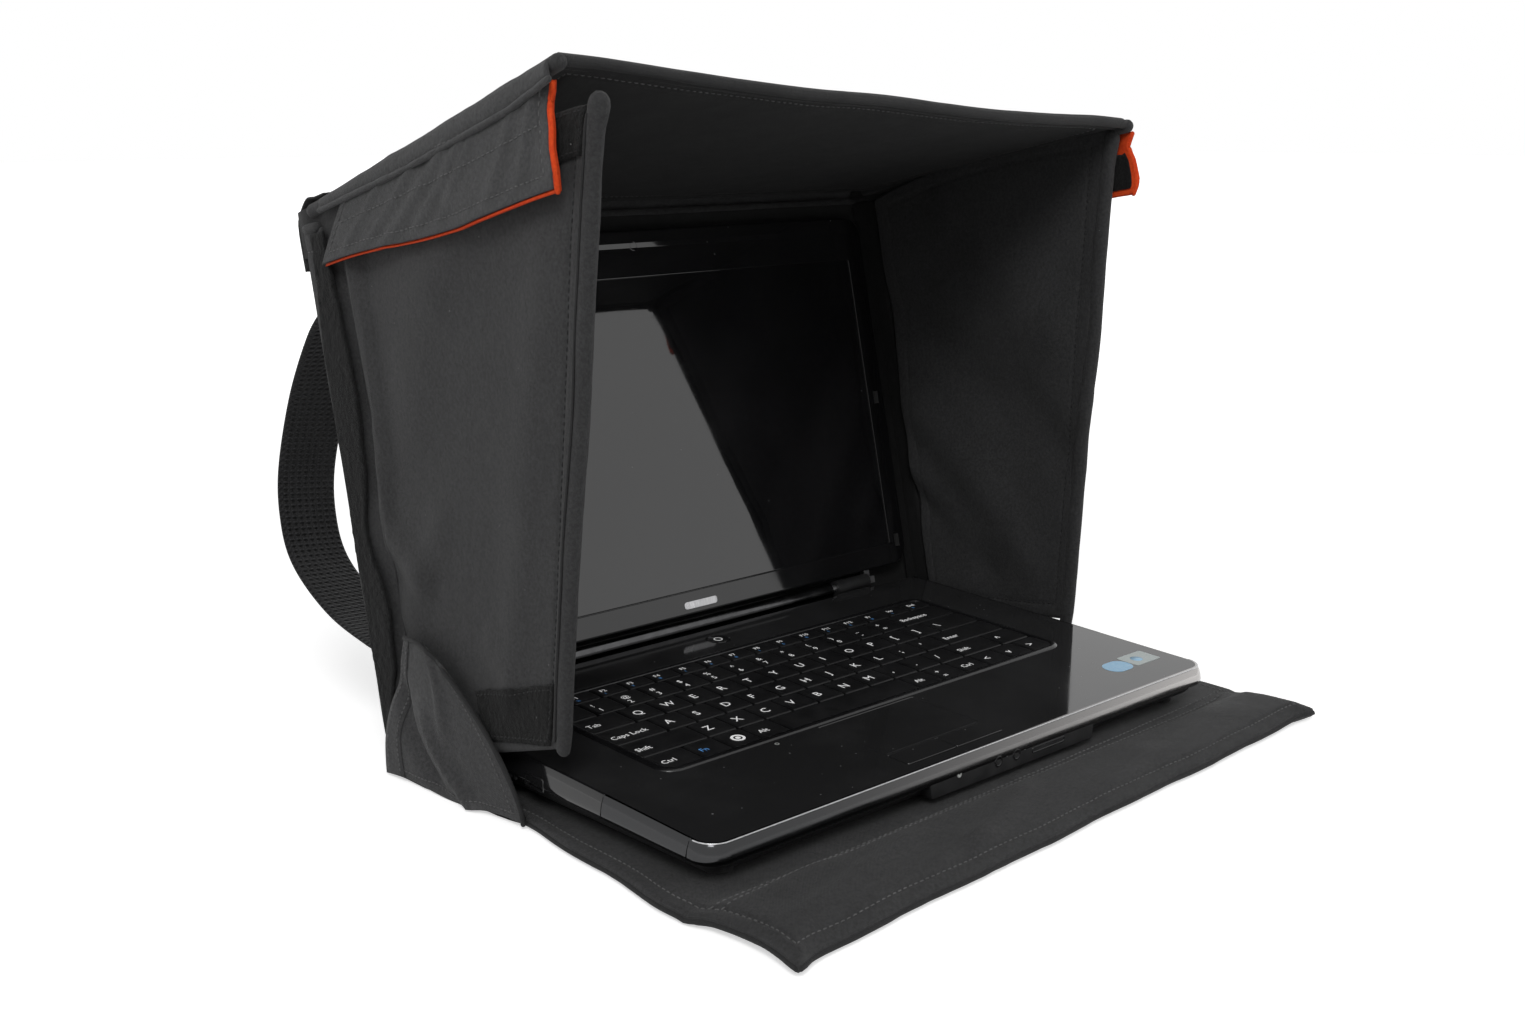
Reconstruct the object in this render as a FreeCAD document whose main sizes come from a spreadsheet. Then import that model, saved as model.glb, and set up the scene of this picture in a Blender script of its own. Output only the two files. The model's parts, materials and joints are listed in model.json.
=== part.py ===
import FreeCAD, Part
import math
import os
import Sketcher

# Folding laptop hood for on-location video work, opened into its shade, with the laptop inside it.
# Frame: +Z up, +Y away from the operator, +X to the operator's right.
# The origin is on the ground under the middle of the hood's base.  Millimetres and degrees.

DIMENSIONS = {
    # laptop
    "laptop_width": 373,
    "laptop_depth": 234,
    "deck_front_height": 26,
    "deck_slope": 2.45,
    "case_floor_height": 9,
    "case_wall": 2,
    "case_rear_inset": 3,
    "case_rear_undercut": 6,
    "deck_plate": 2,
    "deck_plate_depth": 221,
    "trim_width": 3,
    "key_pitch": 19.05,
    "key_gap": 1.6,
    "key_top_height": 0.6,
    "key_thickness": 2.2,
    "function_key_depth": 12,
    "keyboard_units": 15.25,
    "keyboard_front": 76,
    "keyboard_margin": 1.5,
    "tray_depth_below_deck": 5.4,
    "tray_thickness": 1,
    "pad_centre": -17.5,
    "pad_half_width": 34.5,
    "pad_front": 26.2,
    "pad_rear": 70.8,
    "pad_key_front": 10.2,
    "pad_key_rear": 23.8,
    "pad_gap": 0.2,
    "port_strip_left": -48,
    "port_strip_right": 80,
    "port_strip_foot": 9.6,
    "jack_height": 16.5,
    # lid
    "recline": 12.3,
    "pivot_back": 111,
    "pivot_height": 38,
    "lid_bottom": 6,
    "lid_top": 230,
    "lid_thickness": 8,
    "bezel_thickness": 1.5,
    "screen_half_width": 172,
    "screen_bottom": 20,
    "screen_top": 212,
    "barrel_radius": 4.5,
    "barrel_half_length": 113,
    "pin_radius": 2,
    "pin_clearance": 0.06,
    # hood
    "panel_thickness": 6,
    "base_half_width": 198,
    "base_front": -121.5,
    "base_rear": 112.5,
    "apron_half_width": 207,
    "apron_front": -175,
    "apron_rear": -122.6,
    "back_foot": 113.3,
    "back_foot_height": 1.5,
    "back_height": 279,
    "back_half_width": 199,
    "back_thickness": 5,
    "back_return": 19,
    "side_inner_face": 190,
    "side_hinge_reach": 20.5,
    "side_foot_reach": 138,
    "side_foot_rise": 7,
    "side_head_reach": 228,
    "side_head_rise": 280,
    "hem_radius": 4,
    "roof_slope": 14.7,
    "roof_axis_back": 172,
    "roof_axis_height": 279,
    "roof_half_width": 200,
    "roof_length": 229,
    "flap_fold_line": 201,
    "flap_front_drop": 41,
    "flap_rear_drop": 30,
    "strap_width": 38,
    "strap_centre": 180,
    "strap_thickness": 2.2,
}

SIDES = (("left", -1), ("right", 1))
FIT = 0.1        # air left between pieces that lie against each other
BOARD_SKIN = 1.6  # cover cloth and lining over a stiffener board


class Size:
    """A number together with the spreadsheet expression that gives it."""

    def __init__(self, value, text):
        self.value = value
        self.text = text

    def __add__(self, other):
        other = as_size(other)
        return Size(self.value + other.value, f"({self.text} + {other.text})")

    def __sub__(self, other):
        other = as_size(other)
        return Size(self.value - other.value, f"({self.text} - {other.text})")

    def __mul__(self, other):
        other = as_size(other)
        return Size(self.value * other.value, f"({self.text} * {other.text})")

    def __truediv__(self, other):
        other = as_size(other)
        return Size(self.value / other.value, f"({self.text} / {other.text})")

    def __neg__(self):
        return Size(-self.value, f"(0 - {self.text})")

    def __radd__(self, other):
        return as_size(other) + self

    def __rsub__(self, other):
        return as_size(other) - self

    def __rmul__(self, other):
        return as_size(other) * self


def as_size(number):
    if isinstance(number, Size):
        return number
    return Size(float(number), f"({float(number)!r})")


def dim(alias):
    return Size(float(DIMENSIONS[alias]), f"Dimensions.{alias}")


def cosine(angle):
    return Size(math.cos(math.radians(angle.value)), f"cos({angle.text})")


def sine(angle):
    return Size(math.sin(math.radians(angle.value)), f"sin({angle.text})")


class Frame:
    """A frame turned about X by an angle, with its origin in the YZ plane."""

    def __init__(self, back, up, angle):
        self.back = as_size(back)
        self.up = as_size(up)
        self.angle = as_size(angle)

    def point(self, along, above):
        """Row-frame Y and Z of a place given along and above this frame."""
        along = as_size(along)
        above = as_size(above)
        back = self.back + cosine(self.angle) * along - sine(self.angle) * above
        up = self.up + sine(self.angle) * along + cosine(self.angle) * above
        return back, up


doc = FreeCAD.newDocument("laptop_hood")
ROW = Frame(0, 0, 0)
DECK = Frame(-dim("laptop_depth") / 2, dim("deck_front_height"), dim("deck_slope"))
LID = Frame(dim("pivot_back"), dim("pivot_height"), -dim("recline"))
BACK = Frame(dim("back_foot"), dim("back_foot_height"), -dim("recline"))
ROOF = Frame(dim("roof_axis_back"), dim("roof_axis_height"), -dim("roof_slope"))
PARTS = {}


# ---------------------------------------------------------------- helpers

def make_sheet():
    sheet = doc.addObject("Spreadsheet::Sheet", "Dimensions")
    for row, (alias, value) in enumerate(DIMENSIONS.items(), start=1):
        sheet.set(f"A{row}", alias)
        sheet.set(f"B{row}", str(value))
        sheet.setAlias(f"B{row}", alias)
    doc.recompute()
    return sheet


def bind(item, name, size):
    item.setExpression(name, as_size(size).text)


def place(item, frame, x=0, along=0, above=0):
    """Put an object's own origin at a place in a frame, turned with that frame."""
    back, up = frame.point(along, above)
    start = FreeCAD.Vector(as_size(x).value, back.value, up.value)
    turn = FreeCAD.Rotation(FreeCAD.Vector(1, 0, 0), frame.angle.value)
    item.Placement = FreeCAD.Placement(start, turn)
    bind(item, "Placement.Base.x", x)
    bind(item, "Placement.Base.y", back)
    bind(item, "Placement.Base.z", up)
    if frame is not ROW:
        bind(item, "Placement.Rotation.Angle", frame.angle)


def keep(node, item):
    item.Label = node
    PARTS[node] = item
    return item


def slab(name, frame, x, y, z):
    """A plain block between two limits on each axis of a frame."""
    box = doc.addObject("Part::Box", name)
    bind(box, "Length", as_size(x[1]) - x[0])
    bind(box, "Width", as_size(y[1]) - y[0])
    bind(box, "Height", as_size(z[1]) - z[0])
    place(box, frame, x[0], y[0], z[0])
    return box


def rod(name, frame, x, y, z, radius):
    """A round bar along X."""
    bar = doc.addObject("Part::Cylinder", name)
    bind(bar, "Radius", radius)
    bind(bar, "Height", as_size(x[1]) - x[0])
    back, up = frame.point(y, z)
    start = FreeCAD.Vector(as_size(x[0]).value, back.value, up.value)
    bar.Placement = FreeCAD.Placement(start, FreeCAD.Rotation(FreeCAD.Vector(0, 1, 0), 90))
    bind(bar, "Placement.Base.x", x[0])
    bind(bar, "Placement.Base.y", back)
    bind(bar, "Placement.Base.z", up)
    return bar


def cut(name, base, tools):
    """The base with every tool taken away."""
    tool = tools[0] if len(tools) == 1 else fuse(name + "_openings", tools)
    result = doc.addObject("Part::Cut", name)
    result.Base = base
    result.Tool = tool
    return result


def fuse(name, items):
    result = doc.addObject("Part::MultiFuse", name)
    result.Shapes = items
    return result


def group(name, items):
    """Separate identical pieces that share one node."""
    result = doc.addObject("Part::Compound", name)
    result.Links = items
    return result


def origin_plane(body, role):
    for feature in body.Origin.OriginFeatures:
        if feature.Role == role:
            return feature
    raise LookupError(role)


def outline(body, role, corners):
    """A closed sketch whose corners are all bound to the spreadsheet."""
    sketch = body.newObject("Sketcher::SketchObject", body.Name + "_outline")
    sketch.AttachmentSupport = [(origin_plane(body, role), "")]
    sketch.MapMode = "FlatFace"
    count = len(corners)
    corners = [(as_size(u), as_size(v)) for u, v in corners]
    spots = [FreeCAD.Vector(u.value, v.value, 0) for u, v in corners]
    for index in range(count):
        sketch.addGeometry(Part.LineSegment(spots[index], spots[(index + 1) % count]), False)
    for index in range(count):
        sketch.addConstraint(Sketcher.Constraint("Coincident", index, 2, (index + 1) % count, 1))
    for index, (u, v) in enumerate(corners):
        across = sketch.addConstraint(Sketcher.Constraint("DistanceX", -1, 1, index, 1, u.value))
        sketch.setExpression(f"Constraints[{across}]", u.text)
        upward = sketch.addConstraint(Sketcher.Constraint("DistanceY", -1, 1, index, 1, v.value))
        sketch.setExpression(f"Constraints[{upward}]", v.text)
    return sketch


def prism(name, frame, x, corners):
    """A sheet piece: an outline in a frame's YZ plane, padded along X."""
    body = doc.addObject("PartDesign::Body", name)
    sketch = outline(body, "YZ_Plane", corners)
    pad = body.newObject("PartDesign::Pad", name + "_pad")
    pad.Profile = sketch
    bind(pad, "Length", as_size(x[1]) - x[0])
    place(body, frame, x[0])
    return body


def span(sign, near, far):
    """X limits of a piece on the left (sign -1) or right (sign 1), near and far from the middle."""
    near = as_size(near)
    far = as_size(far)
    return (-far, -near) if sign < 0 else (near, far)


def both(size):
    """Limits at the same distance each side of the middle."""
    size = as_size(size)
    return -size, size


# ---------------------------------------------------------------- hood

def boarded_panel(name, board_name, frame, x, y, z, seam, skin):
    """A cloth cover sewn round a stiffener, with the stiffener loose inside it."""
    outer = slab(name + "_cloth", frame, x, y, z)
    room_x = (x[0] + seam, x[1] - seam)
    room_y = (as_size(y[0]) + seam, as_size(y[1]) - seam)
    room_z = (as_size(z[0]) + skin, as_size(z[1]) - skin)
    room = slab(name + "_pocket", frame, room_x, room_y, room_z)
    cover = cut(name, outer, [room])
    board = slab(
        board_name,
        frame,
        (room_x[0] + FIT, room_x[1] - FIT),
        (room_y[0] + FIT, room_y[1] - FIT),
        (room_z[0] + FIT, room_z[1] - FIT),
    )
    keep(board_name, board)
    return cover


def base_and_apron():
    thickness = dim("panel_thickness")
    base = boarded_panel(
        "base_cover", "base_board", ROW,
        both(dim("base_half_width")),
        (dim("base_front"), dim("base_rear")),
        (0, thickness), 6, BOARD_SKIN,
    )
    keep("base_cover", base)
    apron = boarded_panel(
        "apron_cover", "apron_foam", ROW,
        both(dim("apron_half_width")),
        (dim("apron_front"), dim("apron_rear")),
        (0, thickness), 7, 1.2,
    )
    keep("apron_cover", apron)


def back_panel():
    """The leaning back, with a narrow return of cloth up each side that the side panel hangs from."""
    half = dim("back_half_width")
    high = dim("back_height")
    thick = dim("back_thickness")
    plate = slab("back_plate", BACK, both(half), (0, thick), (0, high))
    returns = [
        slab(f"back_return_{side}", BACK, span(sign, half - 6, half), (-dim("back_return"), 1), (9, 262))
        for side, sign in SIDES
    ]
    whole = fuse("back_cloth", [plate] + returns)
    room = slab("back_pocket", BACK, both(half - 8), (1.1, thick - 1.1), (6, high - 6))
    keep("back_cover", cut("back_cover", whole, [room]))
    board = slab(
        "back_board", BACK, both(half - 8 - FIT), (1.1 + FIT, thick - 1.1 - FIT), (6 + FIT, high - 6 - FIT)
    )
    keep("back_board", board)


def side_outline(front, rear, low, high):
    """Corners of a side panel, drawn in by the given amounts from its finished edges."""
    hinge = -dim("side_hinge_reach") - 1
    foot = -dim("side_foot_reach")
    head = -dim("side_head_reach")
    return [
        (foot + front, dim("side_foot_rise") + low),
        (hinge - rear, 27 + low),
        (hinge - rear, 262 - high),
        (head + front, dim("side_head_rise") - high),
    ]


def side_panel(side, sign):
    inner = dim("side_inner_face")
    outer = inner + dim("panel_thickness")
    hem_room = dim("hem_radius") * 2 + 1
    cloth = prism(f"side_cloth_{side}", BACK, span(sign, inner, outer), side_outline(hem_room, 0, 0, 0))
    room = prism(
        f"side_pocket_{side}", BACK, span(sign, inner + BOARD_SKIN, outer - BOARD_SKIN),
        side_outline(hem_room + 5, 6, 8, 8),
    )
    keep(f"side_cover_{side}", cut(f"side_cover_{side}", cloth, [room]))
    skin = BOARD_SKIN + FIT
    board = prism(
        f"side_board_{side}", BACK, span(sign, inner + skin, outer - skin),
        side_outline(hem_room + 5.5, 6.5, 8.5, 8.5),
    )
    keep(f"side_board_{side}", board)


def side_hem(side, sign):
    """The rolled front hem of a side panel: a round cord from its foot to its head."""
    radius = dim("hem_radius")
    middle = dim("side_inner_face") + dim("panel_thickness") / 2
    run = dim("side_head_reach") - dim("side_foot_reach")
    rise = dim("side_head_rise") - dim("side_foot_rise")
    length = math.hypot(run.value, rise.value)
    lean = math.degrees(math.atan2(run.value, rise.value)) - DIMENSIONS["recline"]
    cord = doc.addObject("Part::Cylinder", f"side_hem_{side}")
    bind(cord, "Radius", radius)
    bind(cord, "Height", length)
    back, up = BACK.point(-dim("side_foot_reach") + radius, dim("side_foot_rise"))
    start = FreeCAD.Vector(sign * middle.value, back.value, up.value)
    cord.Placement = FreeCAD.Placement(start, FreeCAD.Rotation(FreeCAD.Vector(1, 0, 0), lean))
    bind(cord, "Placement.Base.x", middle * sign)
    bind(cord, "Placement.Base.y", back)
    bind(cord, "Placement.Base.z", up)
    keep(f"side_hem_{side}", cord)


def hook_patches(side, sign):
    """Hook tape on the outside of a side panel: one piece at its foot, one at its head."""
    outer = dim("side_inner_face") + dim("panel_thickness")
    x = span(sign, outer + FIT, outer + 1.2)
    foot = prism(f"foot_patch_{side}", BACK, x, [(-128, 15), (-70, 25), (-76, 58), (-137, 48)])
    head = prism(f"head_patch_{side}", BACK, x, [(-200, 226), (-184, 226), (-197, 268), (-213, 268)])
    keep(f"hook_patches_{side}", group(f"hook_patches_{side}", [foot, head]))


def loop_strips():
    """Loop tape up the outside of both returns of the back; the flaps close onto it when packed."""
    half = dim("back_half_width")
    strips = [
        slab(f"loop_{side}", BACK, span(sign, half + FIT, half + 1.3), (-18, -1), (42, 248))
        for side, sign in SIDES
    ]
    keep("loop_strips", group("loop_strips", strips))


def gusset(side, sign):
    """Three-cornered cloth web that ties the base to the back at its lower corner."""
    half = dim("back_half_width")
    corners = [(10, 1), (112, 1), (90, 76)]
    keep(f"gusset_{side}", prism(f"gusset_{side}", ROW, span(sign, half + 0.5, half + 2.5), corners))


def roof_panel():
    radius = dim("hem_radius") - 0.5
    half = dim("roof_half_width")
    thick = dim("panel_thickness")
    front = -dim("roof_length") + radius
    sheet = slab("roof_sheet", ROOF, both(half), (front, -2), (-thick / 2, thick / 2))
    hem = rod("roof_hem", ROOF, both(half), front, 0, radius)
    cloth = fuse("roof_cloth", [sheet, hem])
    room_y = (front + 10, -12)
    room_z = thick / 2 - BOARD_SKIN
    room = slab("roof_pocket", ROOF, both(half - 8), room_y, both(room_z))
    keep("roof_cover", cut("roof_cover", cloth, [room]))
    board_y = (front + 10 + FIT, -12 - FIT)
    keep("roof_board", slab("roof_board", ROOF, both(half - 8 - FIT), board_y, both(room_z - FIT)))


def roof_flap(side, sign):
    """Flap that hangs from the roof's edge: outer cloth, coloured lining and a strip of hook tape."""
    fold = dim("flap_fold_line")
    front = -dim("flap_front_drop")
    rear = -dim("flap_rear_drop")
    cloth = [(-218, -1.5), (-218, front), (-23, rear), (-9, -3)]
    lining = [(-219.5, -4.2), (-219.5, front - 1.5), (-22, rear - 1.5), (-12, -5)]
    hooks = [(-212, -12), (-212, front + 6), (-40, rear + 4), (-40, -12)]
    keep(f"roof_flap_{side}", prism(f"roof_flap_{side}", ROOF, span(sign, fold - 1, fold + 0.6), cloth))
    keep(
        f"flap_lining_{side}",
        prism(f"flap_lining_{side}", ROOF, span(sign, fold - 1.9, fold - 1 - FIT), lining),
    )
    keep(
        f"flap_hooks_{side}",
        prism(f"flap_hooks_{side}", ROOF, span(sign, fold - 3.2, fold - 1.9 - FIT), hooks),
    )


def strap_loop():
    """Webbing loop standing off the back, as one curved band, and the two tabs it is sewn to."""
    width = dim("strap_width")
    centre = dim("strap_centre")
    thick = DIMENSIONS["strap_thickness"]
    inner = [(28, 226), (60, 188), (75, 140), (62, 92), (27, 66)]
    outer = [(28, 226 + thick), (60 + thick, 188), (75 + thick, 140), (62 + thick, 91), (27, 66 - thick)]
    inner_edge = Part.BSplineCurve()
    inner_edge.interpolate([FreeCAD.Vector(0, y, z) for y, z in inner])
    outer_edge = Part.BSplineCurve()
    outer_edge.interpolate([FreeCAD.Vector(0, y, z) for y, z in outer])
    ends = [
        Part.LineSegment(inner_edge.EndPoint, outer_edge.EndPoint).toShape(),
        Part.LineSegment(outer_edge.StartPoint, inner_edge.StartPoint).toShape(),
    ]
    rim = Part.Wire(Part.__sortEdges__([inner_edge.toShape(), outer_edge.toShape()] + ends))
    band = Part.Face(rim).extrude(FreeCAD.Vector(width.value, 0, 0))
    strap = doc.addObject("Part::Feature", "carry_strap")
    strap.Shape = band
    place(strap, BACK, -centre - width / 2)
    keep("carry_strap", strap)
    x = (-centre - width / 2, -centre + width / 2)
    face = dim("back_thickness") + FIT
    tabs = [
        slab("lower_tab", BACK, x, (face, face + 2), (46, 72)),
        slab("upper_tab", BACK, x, (face, face + 2), (220, 246)),
    ]
    keep("strap_tabs", group("strap_tabs", tabs))


# ---------------------------------------------------------------- laptop base

def case_points(inset):
    """Side view of the case: flat floor, leaning rear wall, a step down under the lid hinge."""
    floor = dim("case_floor_height") + inset
    front = -dim("laptop_depth") / 2 + 1 + inset
    rear = dim("laptop_depth") / 2 - dim("case_rear_inset") - inset
    plate = -dim("deck_plate") - FIT
    step = dim("deck_plate_depth") + FIT
    nose = DECK.point(1 + inset, plate)
    step_top = DECK.point(step - inset, plate)
    step_low = DECK.point(step - inset, -7 - inset)
    back_top = DECK.point(dim("laptop_depth") - dim("case_rear_inset") - inset, -7 - inset)
    return [
        (front + 4, floor),
        (rear - dim("case_rear_undercut"), floor),
        back_top,
        step_low,
        step_top,
        nose,
    ]


def bottom_case():
    half = dim("laptop_width") / 2 - 1
    wall = dim("case_wall")
    body = prism("case_body", ROW, both(half), case_points(0))
    front = -dim("laptop_depth") / 2
    strip = slab(
        "port_strip",
        ROW,
        (dim("port_strip_left"), dim("port_strip_right")),
        (front + FIT, front + 4),
        (dim("port_strip_foot"), dim("deck_front_height") - dim("deck_plate") - 0.4),
    )
    solid = fuse("case_solid", [body, strip])
    points = case_points(wall)
    points[4] = DECK.point(dim("deck_plate_depth") - 2, 1)
    points[5] = DECK.point(3, 1)
    hollow = prism("case_hollow", ROW, both(half - wall), points)
    floor = dim("case_floor_height")
    bay = slab("battery_bay", ROW, both(106), (61.5, 101.5), (floor - 1, floor + wall + 1))
    slot = slab("latch_slot", ROW, (119, 143), (66, 76), (floor - 1, floor + wall + 1))
    jacks = [
        hole_along_y(f"jack_hole_{index}", x, front - 1, 3.3, 12)
        for index, x in enumerate(JACK_PLACES)
    ]
    keep("bottom_case", cut("bottom_case", solid, [hollow, bay, slot] + jacks))


JACK_PLACES = (2.4, 16.4)  # microphone and headphone sockets in the port strip


def hole_along_y(name, x, y, radius, length):
    bar = doc.addObject("Part::Cylinder", name)
    bind(bar, "Radius", radius)
    bind(bar, "Height", length)
    start = FreeCAD.Vector(x, as_size(y).value, dim("jack_height").value)
    bar.Placement = FreeCAD.Placement(start, FreeCAD.Rotation(FreeCAD.Vector(1, 0, 0), -90))
    bind(bar, "Placement.Base.y", y)
    bind(bar, "Placement.Base.z", dim("jack_height"))
    return bar


def audio_jacks():
    front = -dim("laptop_depth") / 2 + FIT
    sockets = []
    for index, x in enumerate(JACK_PLACES):
        barrel = hole_along_y(f"jack_barrel_{index}", x, front, 3.2, 11)
        bore = hole_along_y(f"jack_bore_{index}", x, front - 1, 1.8, 11)
        sockets.append(cut(f"jack_{index}", barrel, [bore]))
    keep("audio_jacks", group("audio_jacks", sockets))


def keyboard_depth():
    return dim("key_pitch") * 5 + dim("function_key_depth") + dim("key_gap")


def pad_width(extra=0):
    """Left and right limits of the touchpad and its two keys."""
    centre = dim("pad_centre")
    half = dim("pad_half_width") + extra
    return (centre - half, centre + half)


def deck_plate():
    """The glossy deck with its openings for the keyboard, touchpad, touchpad keys and power button."""
    half = dim("laptop_width") / 2 - dim("trim_width") - FIT
    drop = -dim("deck_plate")
    margin = dim("keyboard_margin")
    key_half = dim("key_pitch") * dim("keyboard_units") / 2 + margin
    front = dim("keyboard_front") - margin
    rear = dim("keyboard_front") + keyboard_depth() + margin
    through = (drop - 1, 1)
    gap = dim("pad_gap")
    plate = slab("deck_sheet", DECK, both(half), (dim("trim_width") + FIT, dim("deck_plate_depth")), (drop, 0))
    openings = [
        slab("keyboard_opening", DECK, both(key_half), (front, rear), through),
        slab("pad_opening", DECK, pad_width(gap), (dim("pad_front") - gap, dim("pad_rear") + gap), through),
        slab("pad_key_opening", DECK, pad_width(gap), (dim("pad_key_front") - gap, dim("pad_key_rear") + gap), through),
        rod_up("power_opening", 0, 205, 7, 8),
    ]
    keep("deck_cover", cut("deck_cover", plate, openings))


def rod_up(name, x, along, radius, length, above=-4):
    """A round bar standing square to the deck."""
    bar = doc.addObject("Part::Cylinder", name)
    bind(bar, "Radius", radius)
    bind(bar, "Height", length)
    place(bar, DECK, x, along, above)
    return bar


def edge_trim():
    """Polished rim round the front and sides of the deck."""
    half = dim("laptop_width") / 2
    width = dim("trim_width")
    drop = (-dim("deck_plate"), 0)
    outer = slab("trim_outer", DECK, both(half), (0, dim("deck_plate_depth")), drop)
    inner = slab(
        "trim_inner", DECK, both(half - width), (width, dim("deck_plate_depth") + 1), (-dim("deck_plate") - 1, 1)
    )
    keep("edge_trim", cut("edge_trim", outer, [inner]))


def keyboard_tray():
    half = dim("key_pitch") * dim("keyboard_units") / 2 + 3
    low = -dim("tray_depth_below_deck")
    y = (dim("keyboard_front") - 3, dim("keyboard_front") + keyboard_depth() + 3)
    keep("keyboard_tray", slab("keyboard_tray", DECK, both(half), y, (low, low + dim("tray_thickness"))))


# Widths of the keys of each row, in units of the key pitch, from the left; a negative one is a gap.
KEY_ROWS = {
    "keys_bottom_row": (0, [1.25, 1, 1, 1, -5, 1, 1, 1, 1, 1, 1]),
    "keys_lower_row": (1, [2.25] + [1] * 10 + [1.75, 1.25]),
    "keys_home_row": (2, [1.75] + [1] * 11 + [2.5]),
    "keys_upper_row": (3, [1.5] + [1] * 12 + [1.75]),
    "keys_number_row": (4, [1] * 13 + [2.25]),
}
FUNCTION_KEYS = 16
SPACE_BAR_START = 4.25
SPACE_BAR_UNITS = 5


def key_block(left, width, front, depth):
    """One key cap: a block with its four upper edges bevelled."""
    gap = DIMENSIONS["key_gap"]
    top = DIMENSIONS["key_top_height"]
    thick = DIMENSIONS["key_thickness"]
    corner = FreeCAD.Vector(left + gap / 2, front + gap / 2, top - thick)
    cap = Part.makeBox(width - gap, depth - gap, thick, corner)
    rim = [edge for edge in cap.Edges if all(abs(v.Z - top) < 1e-6 for v in edge.Vertexes)]
    return cap.makeChamfer(0.7, rim)


def key_row(node, front, depth, pitch, widths):
    """A row of key caps that share one node; a negative width leaves that much room."""
    left = -DIMENSIONS["key_pitch"] * DIMENSIONS["keyboard_units"] / 2
    caps = []
    for width in widths:
        if width > 0:
            caps.append(key_block(left, width * pitch, front, depth))
        left += abs(width) * pitch
    row = doc.addObject("Part::Feature", node)
    row.Shape = Part.makeCompound(caps)
    place(row, DECK)
    keep(node, row)


def keys():
    pitch = DIMENSIONS["key_pitch"]
    front = DIMENSIONS["keyboard_front"]
    for node, (row, widths) in KEY_ROWS.items():
        key_row(node, front + row * pitch, pitch, pitch, widths)
    function_pitch = pitch * DIMENSIONS["keyboard_units"] / FUNCTION_KEYS
    function_depth = DIMENSIONS["function_key_depth"] + DIMENSIONS["key_gap"]
    key_row("keys_function_row", front + 5 * pitch, function_depth, function_pitch, [1] * FUNCTION_KEYS)
    left = pitch * (SPACE_BAR_START - DIMENSIONS["keyboard_units"] / 2)
    bar = doc.addObject("Part::Feature", "space_bar")
    bar.Shape = key_block(left, SPACE_BAR_UNITS * pitch, front, pitch)
    place(bar, DECK)
    keep("space_bar", bar)


def touchpad():
    left, right = pad_width()
    middle = dim("pad_centre")
    split = dim("pad_gap") / 2 + 0.2
    depth = (dim("pad_key_front"), dim("pad_key_rear"))
    rise = (-dim("deck_plate"), 0.2)
    pad = slab("touchpad", DECK, (left, right), (dim("pad_front"), dim("pad_rear")), (-1.8, -0.2))
    keep("touchpad", pad)
    keep("pad_key_left", slab("pad_key_left", DECK, (left, middle - split), depth, rise))
    keep("pad_key_right", slab("pad_key_right", DECK, (middle + split, right), depth, rise))
    keep("power_button", rod_up("power_button", 0, 205, 6.8, 2.3, -2))


def hinge_parts():
    """Knuckles on the case, pins with their arms on the lid, and the barrel cover between them."""
    pin = dim("pin_radius")
    knuckles = []
    arms = []
    for side, sign in SIDES:
        shell = rod(f"knuckle_shell_{side}", LID, span(sign, 118, 146), 0, 0, dim("barrel_radius"))
        foot = slab(f"knuckle_foot_{side}", LID, span(sign, 118, 146), (-2.5, 2.5), (-8, 0))
        bore = rod(f"knuckle_bore_{side}", LID, span(sign, 117, 147), 0, 0, pin + dim("pin_clearance"))
        knuckles.append(cut(f"knuckle_{side}", fuse(f"knuckle_body_{side}", [shell, foot]), [bore]))
        spindle = rod(f"spindle_{side}", LID, span(sign, 114, 152), 0, 0, pin)
        arm = slab(f"arm_{side}", LID, span(sign, 147.5, 152), (2, 6), (-2, 17))
        web = slab(f"arm_web_{side}", LID, span(sign, 147.5, 152), (-2, 6), (-2, 2))
        arms.append(fuse(f"hinge_arm_{side}", [spindle, arm, web]))
    keep("hinge_knuckles", group("hinge_knuckles", knuckles))
    keep("hinge_arms", group("hinge_arms", arms))
    keep("hinge_barrel", rod("hinge_barrel", LID, both(dim("barrel_half_length")), 0, 0, dim("barrel_radius")))


# ---------------------------------------------------------------- lid

def lid():
    half = dim("laptop_width") / 2
    low = dim("lid_bottom")
    high = dim("lid_top")
    front = dim("bezel_thickness")
    thick = dim("lid_thickness")
    shell = slab("lid_shell", LID, both(half), (front + FIT, thick), (low, high))
    room = slab("lid_room", LID, both(half - 2), (front, thick - 1.4), (low + 2, high - 2))
    arm_gap = [
        slab(f"arm_gap_{side}", LID, span(sign, 147, 152.5), (1.5, 6.5), (low - 1, low + 3))
        for side, sign in SIDES
    ]
    keep("lid_cover", cut("lid_cover", shell, [room] + arm_gap))
    screen = dim("screen_half_width")
    window = slab("screen_window", LID, both(screen), (-1, front + 1), (dim("screen_bottom"), dim("screen_top")))
    frame = slab("bezel_sheet", LID, both(half), (0, front), (low, high))
    eye = lens("webcam_hole", 2, 4, -1)
    keep("lid_bezel", cut("lid_bezel", frame, [window, eye]))
    keep("webcam", lens("webcam", 1.9, 4.5, 0))
    y = (front + FIT, thick - 1.4 - FIT)
    z = (dim("screen_bottom") - 1.5, dim("screen_top") + 1.5)
    keep("display_panel", slab("display_panel", LID, both(screen + 2), y, z))
    pads = [
        slab(f"bumper_{side}_{place_name}", LID, span(sign, 177, 180), (-1.2, -FIT), (up - 4, up + 4))
        for side, sign in SIDES
        for place_name, up in (("middle", 114), ("foot", 21))
    ]
    keep("lid_bumpers", group("lid_bumpers", pads))


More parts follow.
